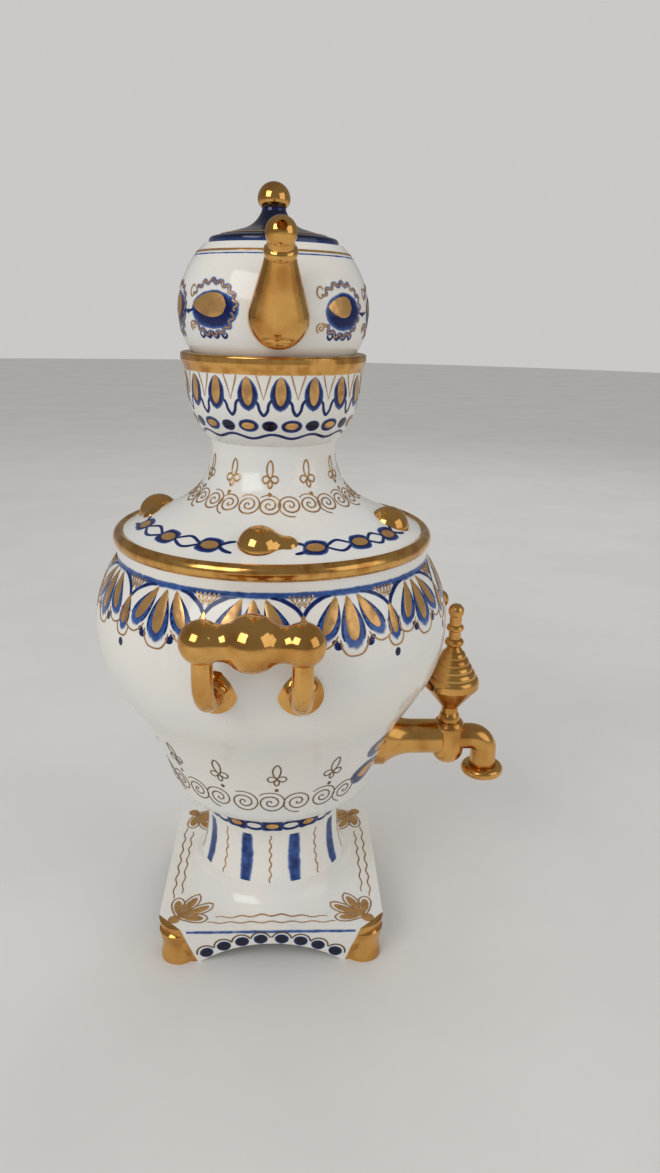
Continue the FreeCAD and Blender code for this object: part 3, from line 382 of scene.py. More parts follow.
def gilding(name, tints, satin=0.0, cobalt_below=None):
    """Burnished gold; satin makes it duller, cobalt_below leaves a cobalt foot."""
    finish = new_finish(name)
    cloud = finish.noise(95.0)
    rubbed = finish.noise(420.0, 4.0)
    base = finish.mix(rgba(tints.gold), rgba(tints.gold_deep), finish.ease(cloud, 0.38, 0.74))
    base = finish.mix(base, rgba(tints.line_brown), finish.ease(rubbed, 0.60, 0.80) * 0.45)
    rough = cloud * 0.08 + rubbed * 0.08 + (0.02 + satin)
    metal = 1.0
    if cobalt_below:
        level = finish.measure("Z") + cloud * 0.0006
        metal = finish.ease(level, cobalt_below, cobalt_below + 0.0004)
        base = finish.mix(rgba(tints.cobalt), base, metal)
    finish.set({
        "Base Color": base,
        "Metallic": metal,
        "Roughness": rough,
        "Normal": finish.bump(finish.noise(150.0), 0.14, 0.0006),
    })
    return finish.owner


def cobalt_paint(name, tints, dark):
    """Brushed cobalt: full in the middle of a stroke, a soft blue wash at its edge."""
    finish = new_finish(name)
    depth = finish.node("ShaderNodeAttribute", {"attribute_name": "depth"}, None, "Fac")
    cloud = finish.noise(330.0, 4.0) - 0.5
    full = finish.ease(depth + cloud * 0.9, 0.15, 0.85)
    finish.set({
        "Base Color": finish.mix(rgba(tints.cobalt_wash), rgba(dark), full),
        "Alpha": finish.ease(depth + cloud * 0.5, 0.02, 0.42),
        "Roughness": cloud * 0.06 + 0.10,
        "IOR": PAINT_IOR,
    })
    return finish.owner


def gold_paint(name, bright, thin, brown_share):
    """Painted gold: bright where it lies thick, brown where it was drawn thin."""
    finish = new_finish(name)
    depth = finish.node("ShaderNodeAttribute", {"attribute_name": "depth"}, None, "Fac")
    cloud = finish.noise(260.0, 4.0)
    worn = finish.ease(cloud + brown_share, 0.45, 0.80)
    finish.set({
        "Base Color": finish.mix(rgba(bright), rgba(thin), worn),
        "Metallic": 0.80 - worn * 0.30,
        "Roughness": cloud * 0.22 + 0.16,
        "Alpha": finish.ease(depth + cloud * 0.3, 0.05, 0.25),
    })
    return finish.owner


def dress(names, material):
    """Puts a material in the slots of CAD nodes."""
    for name in names:
        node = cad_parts[name]
        if not node.material_slots:
            node.data.materials.append(material)
        for slot in node.material_slots:
            slot.material = material


class Skin:
    """The outer face of one CAD node, found by casting rays at it."""

    def __init__(self, name):
        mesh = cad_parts[name].data
        self.name = name
        self.tree = BVHTree.FromPolygons(
            [vertex.co for vertex in mesh.vertices], [face.vertices for face in mesh.polygons])

    def hit(self, start, direction):
        spot, normal, _, _ = self.tree.ray_cast(start, direction)
        if spot is None:
            raise RuntimeError("no face of " + self.name + " under the brush at " + str(start))
        if normal.dot(direction) > 0.0:
            normal = -normal
        return spot, normal

    def from_side(self, angle, level):
        out = Vector((math.cos(angle), math.sin(angle), 0.0))
        return self.hit(out * FAR + Vector((0.0, 0.0, level)), -out)

    def from_above(self, x, y):
        return self.hit(Vector((x, y, FAR)), Vector((0.0, 0.0, -1.0)))

    def wall(self, angle, level):
        """A drawing place on a round wall: x runs round it, y up it."""
        spot, normal = self.from_side(angle, level)
        radius = math.hypot(spot.x, spot.y)
        climb = math.hypot(normal.x, normal.y)

        def place(x, y):
            return self.from_side(angle + x / radius, level + y * climb)

        return place

    def dome(self, angle, radius):
        """A drawing place on a shoulder seen from above: x runs round it, y toward the axis."""

        def place(x, y):
            at, out = angle + x / radius, radius - y
            return self.from_above(out * math.cos(at), out * math.sin(at))

        return place

    def deck(self, turn, x0=0.0, y0=0.0):
        """A drawing place about x0, y0 on a flat top, turned with it about the axis."""

        def place(x, y):
            spot = moved([(x0 + x, y0 + y)], 0.0, 0.0, turn)[0]
            return self.from_above(*spot)

        return place

    def flank(self, turn):
        """A drawing place on a straight side: x runs along it, y up it; turn 0 is the front."""
        along = Vector((math.cos(turn), math.sin(turn), 0.0))
        inward = Vector((-math.sin(turn), math.cos(turn), 0.0))

        def place(x, y):
            return self.hit(along * x - inward * FAR + Vector((0.0, 0.0, y)), inward)

        return place


def mm(points):
    """Points written in millimetres, as metres."""
    return [(x * MM, y * MM) for x, y in points]


def moved(points, x, y, turn=0.0):
    """Points turned about 0,0 and moved."""
    c, s = math.cos(turn), math.sin(turn)
    return [(x + c * px - s * py, y + s * px + c * py) for px, py in points]


def flipped(points):
    """Points with left and right changed over."""
    return [(-x, y) for x, y in points]


def curve(points, steps=6, closed=False):
    """A smooth line through the points."""
    count = len(points)
    line = []
    for i in range(count if closed else count - 1):
        near = [points[(i + k) % count] if closed else points[min(max(i + k, 0), count - 1)]
                for k in (-1, 0, 1, 2)]
        for step in range(steps):
            t = step / steps
            line.append(tuple(
                0.5 * (2 * b + (c - a) * t + (2 * a - 5 * b + 4 * c - d) * t * t
                       + (3 * b - a - 3 * c + d) * t ** 3)
                for a, b, c, d in zip(*near)))
    if not closed:
        line.append(points[-1])
    return line


def oval(width, height, x=0.0, y=0.0, count=20):
    """An oval outline."""
    return [(x + width / 2 * math.cos(math.tau * k / count),
             y + height / 2 * math.sin(math.tau * k / count)) for k in range(count)]


def leaf(width, reach, belly, fullness):
    """A leaf outline from its root at 0,0 along y, hanging if reach is negative.

    belly is where along it the leaf is widest; a lower fullness makes its ends rounder.
    """
    power = math.log(0.5) / math.log(belly)
    side = []
    for k in range(1, LEAF_STEPS):
        t = k / LEAF_STEPS
        side.append((width / 2 * math.sin(math.pi * t ** power) ** fullness, t * reach))
    return [(0.0, 0.0)] + side + [(0.0, reach)] + flipped(reversed(side))


def spiral(size, turns, start):
    """A spiral from its middle outward."""
    steps = int(turns * 18)
    line = []
    for k in range(steps + 1):
        radius = size * (k / steps) ** 0.85
        angle = start + math.tau * turns * k / steps
        line.append((radius * math.cos(angle), radius * math.sin(angle)))
    return line


def rippled(first, step, count, width, height, middle, depth, ripples):
    """An oval arc with a rippled edge, from the angle first onward in steps, in degrees."""
    line = []
    for k in range(count):
        angle = math.radians(first + step * k)
        swell = 1.0 + depth * math.sin(ripples * angle)
        line.append((width * math.cos(angle) * swell, middle + height * math.sin(angle) * swell))
    return line


def around(count, start, clear=0.0):
    """Bearings spread evenly round the axis, none nearer to the tap's than clear."""
    bearings = [start + math.tau * k / count for k in range(count)]
    return [at for at in bearings if abs(math.remainder(at, math.tau)) >= clear]


class Brush:
    """Strokes and patches of one paint, gathered into one thin mesh."""

    def __init__(self, name, paint):
        gold = paint.startswith("gold")
        self.sizes = bpy.context.scene.samovar_brush
        self.name = name
        self.paint = mixed_paint(paint)
        self.lift = self.sizes.gold_lift if gold else self.sizes.cobalt_lift
        self.rise = self.sizes.gold_rise if gold else 0.0
        self.slot = GOLD_SLOT if gold else COBALT_SLOT
        self.hand = random.Random(self.sizes.seed)
        self.points = []
        self.depths = []
        self.faces = []

    def stray(self):
        return self.hand.uniform(-self.sizes.wobble, self.sizes.wobble)

    def dab(self, place, x, y, depth):
        spot, normal = place(x, y)
        self.points.append(spot + normal * (self.lift + self.rise * depth))
        self.depths.append(depth)
        return len(self.points) - 1

    def stroke(self, place, path, width, closed=False, taper=0.0, full=1.0):
        """A line of the brush along the path; taper thins both ends, full is how much paint."""
        count = len(path)
        rows = []
        for i, (x, y) in enumerate(path):
            before = path[i - 1] if closed or i else path[i]
            after = path[(i + 1) % count] if closed or i < count - 1 else path[i]
            dx, dy = after[0] - before[0], after[1] - before[1]
            run = math.hypot(dx, dy) or 1.0
            reach = width / 2 * (1.0 - taper * abs(2.0 * i / (count - 1) - 1.0) ** 3)
            row = []
            for side, depth in ((-1.0, 0.0), (-0.4, full), (0.4, full), (1.0, 0.0)):
                row.append(self.dab(
                    place, x - dy / run * reach * side, y + dx / run * reach * side, depth))
            rows.append(row)
        if closed:
            rows.append(rows[0])
        for first, second in zip(rows, rows[1:]):
            for k in range(3):
                self.faces.append((first[k], second[k], second[k + 1], first[k + 1]))

    def patch(self, place, outline, full=1.0):
        """A filled shape, soft or thin at its outline; full is how much paint lies within."""
        count = len(outline)
        shoelace = sum(
            outline[i - 1][0] * outline[i][1] - outline[i][0] * outline[i - 1][1]
            for i in range(count))
        if shoelace < 0.0:
            outline = list(reversed(outline))
        mid_x = sum(x for x, _ in outline) / count
        mid_y = sum(y for _, y in outline) / count
        rings = []
        for scale, depth in ((1.0, 0.0), (0.84, 0.6), (0.62, 1.0), (0.32, 1.0)):
            ring = []
            for x, y in outline:
                x, y = mid_x + (x - mid_x) * scale, mid_y + (y - mid_y) * scale
                ring.append(self.dab(place, x, y, depth * full))
            rings.append(ring)
        for outer, inner in zip(rings, rings[1:]):
            for i in range(count):
                self.faces.append((outer[i - 1], outer[i], inner[i], inner[i - 1]))
        middle = self.dab(place, mid_x, mid_y, full)
        for i in range(count):
            self.faces.append((rings[-1][i - 1], rings[-1][i], middle))

    def ring(self, skin, level, width, wave=0.0, waves=0, full=1.0):
        """A line right round a wall."""
        spot, _ = skin.from_side(0.0, level)
        radius = math.hypot(spot.x, spot.y)
        path = []
        for k in range(RING_STEPS + 1):
            sway = wave * math.cos(waves * math.tau * k / RING_STEPS)
            path.append((radius * math.tau * k / RING_STEPS, sway))
        self.stroke(skin.wall(0.0, level), path, width, full=full)

    def finish(self, body):
        """Makes the mesh and lets it ride on a body of the set."""
        mesh = bpy.data.meshes.new(self.name)
        mesh.from_pydata(self.points, [], self.faces)
        depth = mesh.attributes.new("depth", "FLOAT", "POINT")
        depth.data.foreach_set("value", self.depths)
        for face in mesh.polygons:
            face.use_smooth = True
        mesh.materials.append(self.paint)
        piece = bpy.data.objects.new(self.name, mesh)
        bpy.context.scene.collection.objects.link(piece)
        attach(piece, body)


def mixed_paint(name):
    """One of the paints, which are mixed once and used on every piece."""
    tints = bpy.context.scene.samovar_colours
    pots = bpy.data.materials
    if name not in pots:
        cobalt_paint("cobalt_brushed", tints, tints.cobalt)
        cobalt_paint("cobalt_ink", tints, tints.ink)
        gold_paint("gold_leafed", tints.line_gold, tints.line_brown, 0.06)
        gold_paint("gold_thin", tints.line_gold, tints.line_brown, 0.22)
        gold_paint("gold_dark", tints.line_brown, tints.line_dark, 0.22)
    return pots[name]


def brushes(piece, *paints):
    """Brushes for one piece of the set, each named after it and its paint."""
    return [Brush(piece + "_" + paint, PAINTS[paint]) for paint in paints]


class SAMOVAR_OT_glaze_porcelain(Operator):
    """Glaze the porcelain white, with gilt rims on cover and crown and gilt plinth corners"""

    bl_idname = "samovar.glaze_porcelain"
    bl_label = "Glaze Porcelain"

    fade = 0.0005  # a gilt edge fades over this length
    crown_wall = (0.0286, 0.0290)  # the crown's rim is gilt outside these radii
    corner_from = (0.0692, 0.0698)  # how far out, x and y together, the corners turn gold
    corner_slope = 0.50  # higher up their gold starts further out, by this share of the height
    corner_top = (0.0164, 0.0168)  # levels between which the corners' gold ends
    rear_drop = 0.0008  # at the rear it ends this much lower

    def execute(self, context):
        scene = context.scene
        tints = scene.samovar_colours
        rim = scene.samovar_cover.gold_beyond
        crown = scene.samovar_crown.gold_from

        def rim_mask(finish):
            out = finish.radius() + finish.noise(160.0) * 0.0006
            return finish.ease(out, rim, rim + self.fade)

        def crown_mask(finish):
            level = finish.measure("Z") + finish.noise(160.0) * 0.0006
            outside = finish.ease(finish.radius(), *self.crown_wall)
            return finish.ease(level, crown, crown + self.fade) * outside

        def corner_mask(finish):
            level = finish.measure("Z")
            out = abs(finish.measure("X")) + abs(finish.measure("Y"))
            out = out - level * self.corner_slope + finish.noise(160.0) * 0.0008
            rear = finish.ease(finish.measure("Y"), -MM, MM) * self.rear_drop
            low = 1.0 - finish.ease(level + rear, *self.corner_top)
            return finish.ease(out, *self.corner_from) * low

        dress(PORCELAIN, white_glaze("porcelain_white", tints))
        dress(["plinth"], white_glaze("porcelain_gilt_corners", tints, corner_mask))
        dress(["cover"], white_glaze("porcelain_gilt_rim", tints, rim_mask))
        dress(["crown_bowl"], white_glaze("porcelain_gilt_crown", tints, crown_mask))
        return {"FINISHED"}


class SAMOVAR_OT_gild_fittings(Operator):
    """Gild the feet, handles, nuts, tap and knob"""

    bl_idname = "samovar.gild_fittings"
    bl_label = "Gild Fittings"

    def execute(self, context):
        tints = context.scene.samovar_colours
        neck = context.scene.samovar_teapot.knob_neck
        dress(GILT_NODES, gilding("gold_burnished", tints))
        dress(TAP_NODES, gilding("gold_satin", tints, satin=0.12))
        dress(["lid_knob"], gilding("gold_knob", tints, cobalt_below=neck))
        return {"FINISHED"}


class SAMOVAR_OT_paint_lid(Operator):
    """Glaze the teapot's lid cobalt and draw its gold ring"""

    bl_idname = "samovar.paint_lid"
    bl_label = "Paint Lid"

    edge = (0.2608, 0.2622)  # levels between which the cobalt ran thin
    steps = 160

    def execute(self, context):
        sizes = context.scene.samovar_teapot
        tints = context.scene.samovar_colours
        dress(["teapot_lid"], cobalt_glaze("cobalt_lid", tints, *self.edge))
        radius = sizes.lid_ring
        gold = Brush("lid_gold_ring", PAINTS["gold"])
        path = [(radius * math.tau * k / self.steps, 0.0) for k in range(self.steps + 1)]
        gold.stroke(Skin("teapot_lid").dome(0.0, radius), path, sizes.ring_width)
        gold.finish("teapot_lid")
        return {"FINISHED"}


class SAMOVAR_OT_paint_teapot(Operator):
    """Paint the rings and medallions of the teapot"""

    bl_idname = "samovar.paint_teapot"
    bl_label = "Paint Teapot"

    places = (-3, -2, -1, 1, 2, 3)  # medallions counted from the spout
    unlinked = (-1, 3)  # no link leads on from these
    curl = ((-8.2, 4.0), (-9.4, 3.4), (-10.4, 4.6), (-10.1, 6.4), (-8.8, 6.9), (-8.2, 6.0))
    link = ((8.6, -0.4), (10.0, -1.0), (11.6, -1.2), (13.2, -1.0), (14.8, -0.4))
    hooks = (-4.8, -1.6, 1.6, 4.8)
    left_size = (14.6, 7.6, 20.4)  # length and width of the gold drop, width of its pool
    right_size = (10.6, 6.6, 17.0)
    scallop = rippled(first=152.0, step=-1.8, count=91, width=9.4, height=7.6, middle=0.4,
                      depth=0.075, ripples=17.0)
    zigzag = rippled(first=205.0, step=2.0, count=76, width=8.6, height=7.6, middle=-0.6,
                     depth=0.08, ripples=16.0)

    def execute(self, context):
        sizes = context.scene.samovar_teapot
        skin = Skin("teapot_pot")
        blue, gold, fine = brushes("teapot", "cobalt", "gold", "gold_lines")
        fine.ring(skin, sizes.gold_ring, sizes.ring_width)
        blue.ring(skin, sizes.blue_ring, blue.sizes.blue_line * 0.6, full=0.35)
        for count in self.places:
            place = skin.wall(sizes.spout + sizes.step * count, sizes.level)
            size = self.left_size if count < 0 else self.right_size
            self.medallion(place, *size, blue, gold, fine)
            if count not in self.unlinked:
                blue.stroke(place, mm(curve(self.link)), blue.sizes.blue_line * 0.8, taper=0.3)
                blue.patch(place, mm(oval(2.0, 1.8, *self.link[2], 12)))
        for piece in (blue, gold, fine):
            piece.finish("teapot")
        return {"FINISHED"}

    def medallion(self, place, wide, tall, pool, blue, gold, fine):
        """A gold drop on a cobalt pool, with a scalloped frame above and a zigzag below."""
        scallop, zigzag = mm(self.scallop), mm(self.zigzag)
        blue.stroke(place, scallop, 2.2 * MM, taper=0.3, full=0.28)
        blue.stroke(place, zigzag, 2.2 * MM, taper=0.3, full=0.32)
        blue.patch(place, oval(pool * MM, 12.4 * MM, 0.6 * MM + blue.stray(), -0.6 * MM, 32))
        drop = leaf(tall * MM, -wide * MM, 0.36, 0.66)
        gold.patch(place, moved(drop, (wide * 0.5 - 1.2) * MM, 0.9 * MM, -math.pi / 2))
        gold_line, brown_line = fine.sizes.gold_line, fine.sizes.brown_line
        fine.stroke(place, scallop, gold_line)
        fine.stroke(place, mm(curve(self.curl)), gold_line, taper=0.4)
        fine.stroke(place, zigzag, brown_line)
        fine.stroke(place, moved(spiral(1.7 * MM, 1.6, 0.5), -9.0 * MM, -5.6 * MM), brown_line)
        for x in self.hooks:
            low = 0.9 - abs(x) * 0.22
            hook = [(x - 1.2, -7.6 + low), (x - 0.9, -8.6), (x, -9.2), (x + 0.9, -8.5),
                    (x + 0.7, -7.6)]
            blue.stroke(place, mm(curve(hook)), blue.sizes.blue_line * 0.75, taper=0.5)


class SAMOVAR_OT_paint_crown(Operator):
    """Paint petals, ovals and swags on the crown bowl"""

    bl_idname = "samovar.paint_crown"
    bl_label = "Paint Crown"

    vee = ((-2.4, 0.1), (-1.2, -3.8), (0.0, -7.8), (1.2, -3.8), (2.4, 0.1))
    squiggle = ((-3.8, -5.6), (-3.5, -7.6), (-2.6, -8.6), (-1.9, -9.6), (-1.4, -11.6),
                (-0.1, -13.2), (1.2, -11.8), (1.7, -9.6), (2.4, -8.4), (3.3, -7.8), (3.7, -6.0))
    dip = 0.9 * MM  # how far the swag line swings up and down

    def execute(self, context):
        sizes = context.scene.samovar_crown
        brush = context.scene.samovar_brush
        skin = Skin("crown_bowl")
        blue, dark, gold, fine = brushes("crown", "cobalt", "ink", "gold", "gold_lines")
        for at in around(sizes.petals, sizes.start):
            place = skin.wall(at, sizes.petal_top)
            turn = blue.hand.uniform(-0.05, 0.05)
            petal = leaf(sizes.petal_width, -sizes.petal_drop, 0.54, 0.55)
            core = leaf(sizes.petal_width * 0.48, -sizes.petal_drop * 0.80, 0.52, 0.5)
            blue.patch(place, moved(petal, 0.0, 0.0, turn))
            gold.patch(place, moved(core, 0.0, -0.3 * MM, turn))
            between = skin.wall(at + math.pi / sizes.petals, sizes.petal_top)
            fine.stroke(between, mm(self.vee), brush.brown_line * 0.8)
            blue.stroke(between, mm(curve(self.squiggle)), brush.blue_line, taper=0.5)
        for k, at in enumerate(around(sizes.ovals, sizes.oval_start)):
            place = skin.wall(at, sizes.oval_level)
            if k % 2 == 0:
                blue.patch(place, oval(7.6 * MM, 5.2 * MM, blue.stray(), blue.stray()))
                gold.patch(place, oval(4.6 * MM, 2.5 * MM))
            else:
                dark.patch(place, oval(5.6 * MM, 4.4 * MM, dark.stray(), dark.stray()))
        swag = sizes.swag_level - self.dip
        blue.ring(skin, swag, brush.blue_line, self.dip, sizes.ovals // 2)
        for piece in (blue, dark, gold, fine):
            piece.finish("cover")
        return {"FINISHED"}


def fleur(brush, place, width, scale):
    """A gold pendant: a tall loop, two side loops, a small tail and a dot."""
    tall = [(0.0, 0.0), (-1.0, 2.2), (-0.9, 4.6), (0.1, 6.2), (0.9, 4.6), (0.9, 2.2)]
    side = [(0.0, 0.0), (1.0, 0.9), (2.2, 0.7), (2.6, -0.4), (1.7, -1.4), (0.7, -0.8)]
    tail = [(0.0, -0.2), (-0.7, -1.9), (0.0, -3.0), (0.7, -1.9)]
    for shape in (tall, side, flipped(side), tail):
        line = curve([(x * scale, y * scale) for x, y in shape], 5, True)
        brush.stroke(place, moved(mm(line), brush.stray(), 0.0), width, closed=True)
    brush.patch(place, mm(oval(1.25 * scale, 1.35 * scale, 0.0, -5.0 * scale, 12)))


def goldwork(brush, skin, sizes, width, scale, clear=0.0):
    """Fleurs round a wall over a row of spirals, all keeping clear of the tap."""
    for at in around(sizes.fleurs, sizes.fleur_start, clear):
        fleur(brush, skin.wall(at, sizes.fleur_level), width, scale)
    for k, at in enumerate(around(sizes.spirals, sizes.spiral_start, clear)):
        line = spiral(sizes.spiral_size, 2.35, brush.hand.uniform(-0.25, 0.25))
        if k % 2:
            line = moved(line, 0.0, 0.0, math.pi * 0.8)
        brush.stroke(skin.wall(at, sizes.spiral_level + brush.stray()), line, width, taper=0.3)


class SAMOVAR_OT_paint_cover(Operator):
    """Paint the neck's gold pendants and spirals and the shoulder's garlands"""

    bl_idname = "samovar.paint_cover"
    bl_label = "Paint Cover"

    nuts = (-184.0, -92.0, -13.0, 88.0, 176.0)  # bearings once round, back to the first nut
    knot = ((-4.7, -2.6), (2.6, -3.3), (4.7, 2.4), (-2.6, 3.3))

    def execute(self, context):
        sizes = context.scene.samovar_cover
        skin = Skin("cover")
        blue, gold, fine = brushes("cover", "cobalt", "gold", "gold_lines")
        goldwork(fine, skin, sizes, fine.sizes.gold_line, 1.05)
        for first, last in zip(self.nuts, self.nuts[1:]):
            self.garland(skin, blue, gold, math.radians(first), math.radians(last), sizes.garland)
        for piece in (blue, gold, fine):
            piece.finish("cover")
        return {"FINISHED"}

    def garland(self, skin, blue, gold, first, last, radius):
        """Three gold-filled knots between two nuts, with loops between and forked ends."""
        span = (last - first) * radius
        place = skin.dome((first + last) / 2, radius)
        knots = [-0.25 * span, 0.01 * span, 0.25 * span]
        line = blue.sizes.blue_line
        for x in knots:
            blue.patch(place, curve(moved(mm(self.knot), x, 0.0), 5, True))
            gold.patch(place, oval(6.4 * MM, 3.7 * MM, x + gold.stray(), gold.stray()))
        for left, right in zip(knots, knots[1:]):
            start, end, mid = left + 3.4 * MM, right - 3.4 * MM, (left + right) / 2
            for bulge in (2.5 * MM, -2.5 * MM):
                path = curve([(start, 0.0), (mid, bulge), (end, 0.0)], 8)
                blue.stroke(place, path, line, taper=0.3)
        for side in (-1.0, 1.0):
            root = knots[1] + side * (knots[2] - knots[1] + 3.2 * MM)
            for lean in (2.6 * MM, -2.6 * MM):
                tail = curve([(root, 0.0), (root + side * 2.6 * MM, lean * 0.7),
                              (root + side * 5.4 * MM, lean)], 6)
                blue.stroke(place, tail, line * 1.2, taper=0.5)


class SAMOVAR_OT_paint_urn_fans(Operator):
    """Paint the blue band, the fans of petals and the hanging petals of the urn"""

    bl_idname = "samovar.paint_urn_fans"
    bl_label = "Paint Urn Fans"

    leaf_side = slice(2, 12)  # points of a leaf's outline along one side
    lean = math.radians(22.0)  # of a fan's outer petals
    dabs = ((5.2, -18.4, 3.0), (6.2, -16.8, 2.2))  # place and size, on both sides of a fan
    lattice = ((3.9, 0.6, -1.2, 5), (2.9, -0.8, -2.5, 4), (1.5, -2.1, -3.7, 2))

    def execute(self, context):
        sizes = context.scene.samovar_urn
        skin = Skin("urn_body")
        blue, dark, gold, fine = brushes("urn", "cobalt", "ink", "gold", "gold_lines")
        blue.ring(skin, sizes.band, sizes.band_width, full=0.45)
        for at in around(sizes.fans, sizes.start):
            self.fan(skin, sizes, at, blue, gold, fine)
            self.pendant(skin, sizes, at + math.pi / sizes.fans, blue, dark, gold, fine)
        for piece in (blue, dark, gold, fine):
            piece.finish("urn")
        return {"FINISHED"}

    def petal(self, place, root, turn, reach, width, blue, gold, fine):
        """A hanging cobalt petal with dark sides, a gold core and a gold line under its tip."""
        shape = leaf(width, -reach, 0.64, 0.50)
        blue.patch(place, moved(shape, root, 0.0, turn), 0.50)
        side = [(x - 0.45 * MM, y) for x, y in shape[self.leaf_side]]
        for edge in (side, flipped(side)):
            blue.stroke(place, moved(edge, root, 0.0, turn), 1.3 * MM, taper=0.6)
        core = moved(leaf(width * 0.54, -reach * 0.78, 0.58, 0.44), 0.0, -reach * 0.02)
        gold.patch(place, moved(core, root, 0.0, turn))
        half = width / 2 + 0.5 * MM
        low = reach + 1.5 * MM
        left = [(-half, -low * 0.70), (-half * 0.92, -low * 0.84), (-half * 0.55, -low * 0.97)]
        under = curve(left + [(0.0, -low)] + flipped(reversed(left)))
        fine.stroke(place, moved(under, root, 0.0, turn), fine.sizes.gold_line * 1.15, taper=0.4)

    def fan(self, skin, sizes, at, blue, gold, fine):
        """Two leaning petals and one over them, with cobalt dabs between their tips."""
        place = skin.wall(at, sizes.band - 0.8 * MM)
        lean = self.lean + blue.hand.uniform(-0.03, 0.03)
        width = sizes.petal_width
        for side in (-1.0, 1.0):
            self.petal(place, side * 3.6 * MM, side * lean, sizes.petal * 0.86, width * 0.86,
                       blue, gold, fine)
        self.petal(place, 0.0, blue.stray() * 40.0, sizes.petal, width, blue, gold, fine)
        for x, y, size in self.dabs:
            for side in (-1.0, 1.0):
                blue.patch(place, mm(oval(size, size * 1.1, side * x, y, 12)))

    def pendant(self, skin, sizes, at, blue, dark, gold, fine):
        """Two cobalt arms with a gold lattice between, a small petal and a dark drop."""
        top = skin.wall(at, sizes.band - 0.6 * MM)
        for side in (-1.0, 1.0):
            arm = [(9.8 * side, 0.0), (7.0 * side, -0.5), (4.2 * side, -2.0),
                   (1.7 * side, -4.1), (0.0, -7.0)]
            blue.stroke(top, mm(curve(arm)), blue.sizes.blue_line * 1.4, taper=0.3, full=0.8)
        for half, high, low, teeth in self.lattice:
            zigzag = []
            for k in range(2 * teeth + 1):
                zigzag.append((half * (k / teeth - 1.0), high if k % 2 == 0 else low))
            gold.stroke(top, mm(zigzag), gold.sizes.gold_line * 1.1)
        place = skin.wall(at, sizes.pendant)
        self.petal(place, 0.0, blue.stray() * 60.0, 14.4 * MM, 5.4 * MM, blue, gold, fine)
        dark.patch(place, mm(oval(2.5, 3.7, 0.0, -18.6, 14)))


class SAMOVAR_OT_paint_urn_foot(Operator):
    """Paint the gold fleurs and spirals of the lower urn and the flower round the tap"""

    bl_idname = "samovar.paint_urn_foot"
    bl_label = "Paint Urn Foot"

    clear = math.radians(40.0)  # fleurs and spirals keep this far from the tap
    petals = (-93.0, -62.0, -31.0, 0.0, 31.0, 62.0, 93.0)  # how they turn round the tap
    petal_root = 14.0 * MM

    def execute(self, context):
        sizes = context.scene.samovar_urn
        skin = Skin("urn_body")
        blue, gold = brushes("urn_tap", "cobalt", "gold")
        fine = Brush("urn_foot_gold_lines", PAINTS["brown_lines"])
        goldwork(fine, skin, sizes, fine.sizes.brown_line, 1.32, self.clear)
        place = skin.wall(0.0, sizes.tap_level)
        petal = moved(leaf(13.0 * MM, 19.0 * MM, 0.6, 0.6), 0.0, self.petal_root)
        core = moved(leaf(6.0 * MM, 11.0 * MM, 0.55, 0.65), 0.0, self.petal_root + 4.0 * MM)
        for turn in self.petals:
            blue.patch(place, moved(petal, 0.0, 0.0, math.radians(turn)))
            gold.patch(place, moved(core, 0.0, 0.0, math.radians(turn)))
        for piece in (blue, gold, fine):
            piece.finish("urn")
        return {"FINISHED"}


class SAMOVAR_OT_paint_stem(Operator):
    """Paint the chain, the stripes and the wavy gold lines of the stem"""

    bl_idname = "samovar.paint_stem"
    bl_label = "Paint Stem"

    block = ((-4.2, -2.3), (0.0, -2.5), (4.2, -2.3), (4.3, 2.3), (0.0, 2.5), (-4.3, 2.3))
    radius = 0.0272  # of the stem at the stripes
    steps = 26  # in a stripe
    waves = 5.0  # in a wavy line

    def execute(self, context):
        sizes = context.scene.samovar_plinth
        brush = context.scene.samovar_brush
        skin = Skin("plinth")
        blue, gold, fine = brushes("stem", "cobalt", "gold", "gold_lines")
        for at in around(sizes.links, sizes.link_start):
            place = skin.wall(at, sizes.link_level)
            block = mm(curve(self.block, 4, True))
            blue.patch(place, moved(block, blue.stray(), blue.stray()))
            gold.patch(place, oval(4.9 * MM, 2.5 * MM))
            half_way = skin.wall(at + math.pi / sizes.links, sizes.link_level)
            blue.stroke(half_way, oval(7.4 * MM, 3.8 * MM), brush.blue_line * 1.2, closed=True)
        for at in around(sizes.stripes, sizes.stripe_start):
            half_way = at + math.pi / sizes.stripes
            self.upright(skin, at, sizes, blue, sizes.stripe_width, full=0.60)
            self.upright(skin, half_way, sizes, fine, brush.gold_line, wave=0.022)
        for piece in (blue, gold, fine):
            piece.finish("urn")
        return {"FINISHED"}

    def upright(self, skin, at, sizes, brush, width, wave=0.0, full=1.0):
        """A stroke straight down the stem; wave is how far it swings, for its length."""
        drop = sizes.stripe_top - sizes.stripe_foot
        path = []
        for k in range(self.steps + 1):
            t = k / self.steps
            path.append((drop * wave * math.sin(self.waves * math.tau * t), -drop * t))

        def place(x, y):
            return skin.from_side(at + x / self.radius, sizes.stripe_top + y)

        brush.stroke(place, path, width, taper=0.25, full=full)


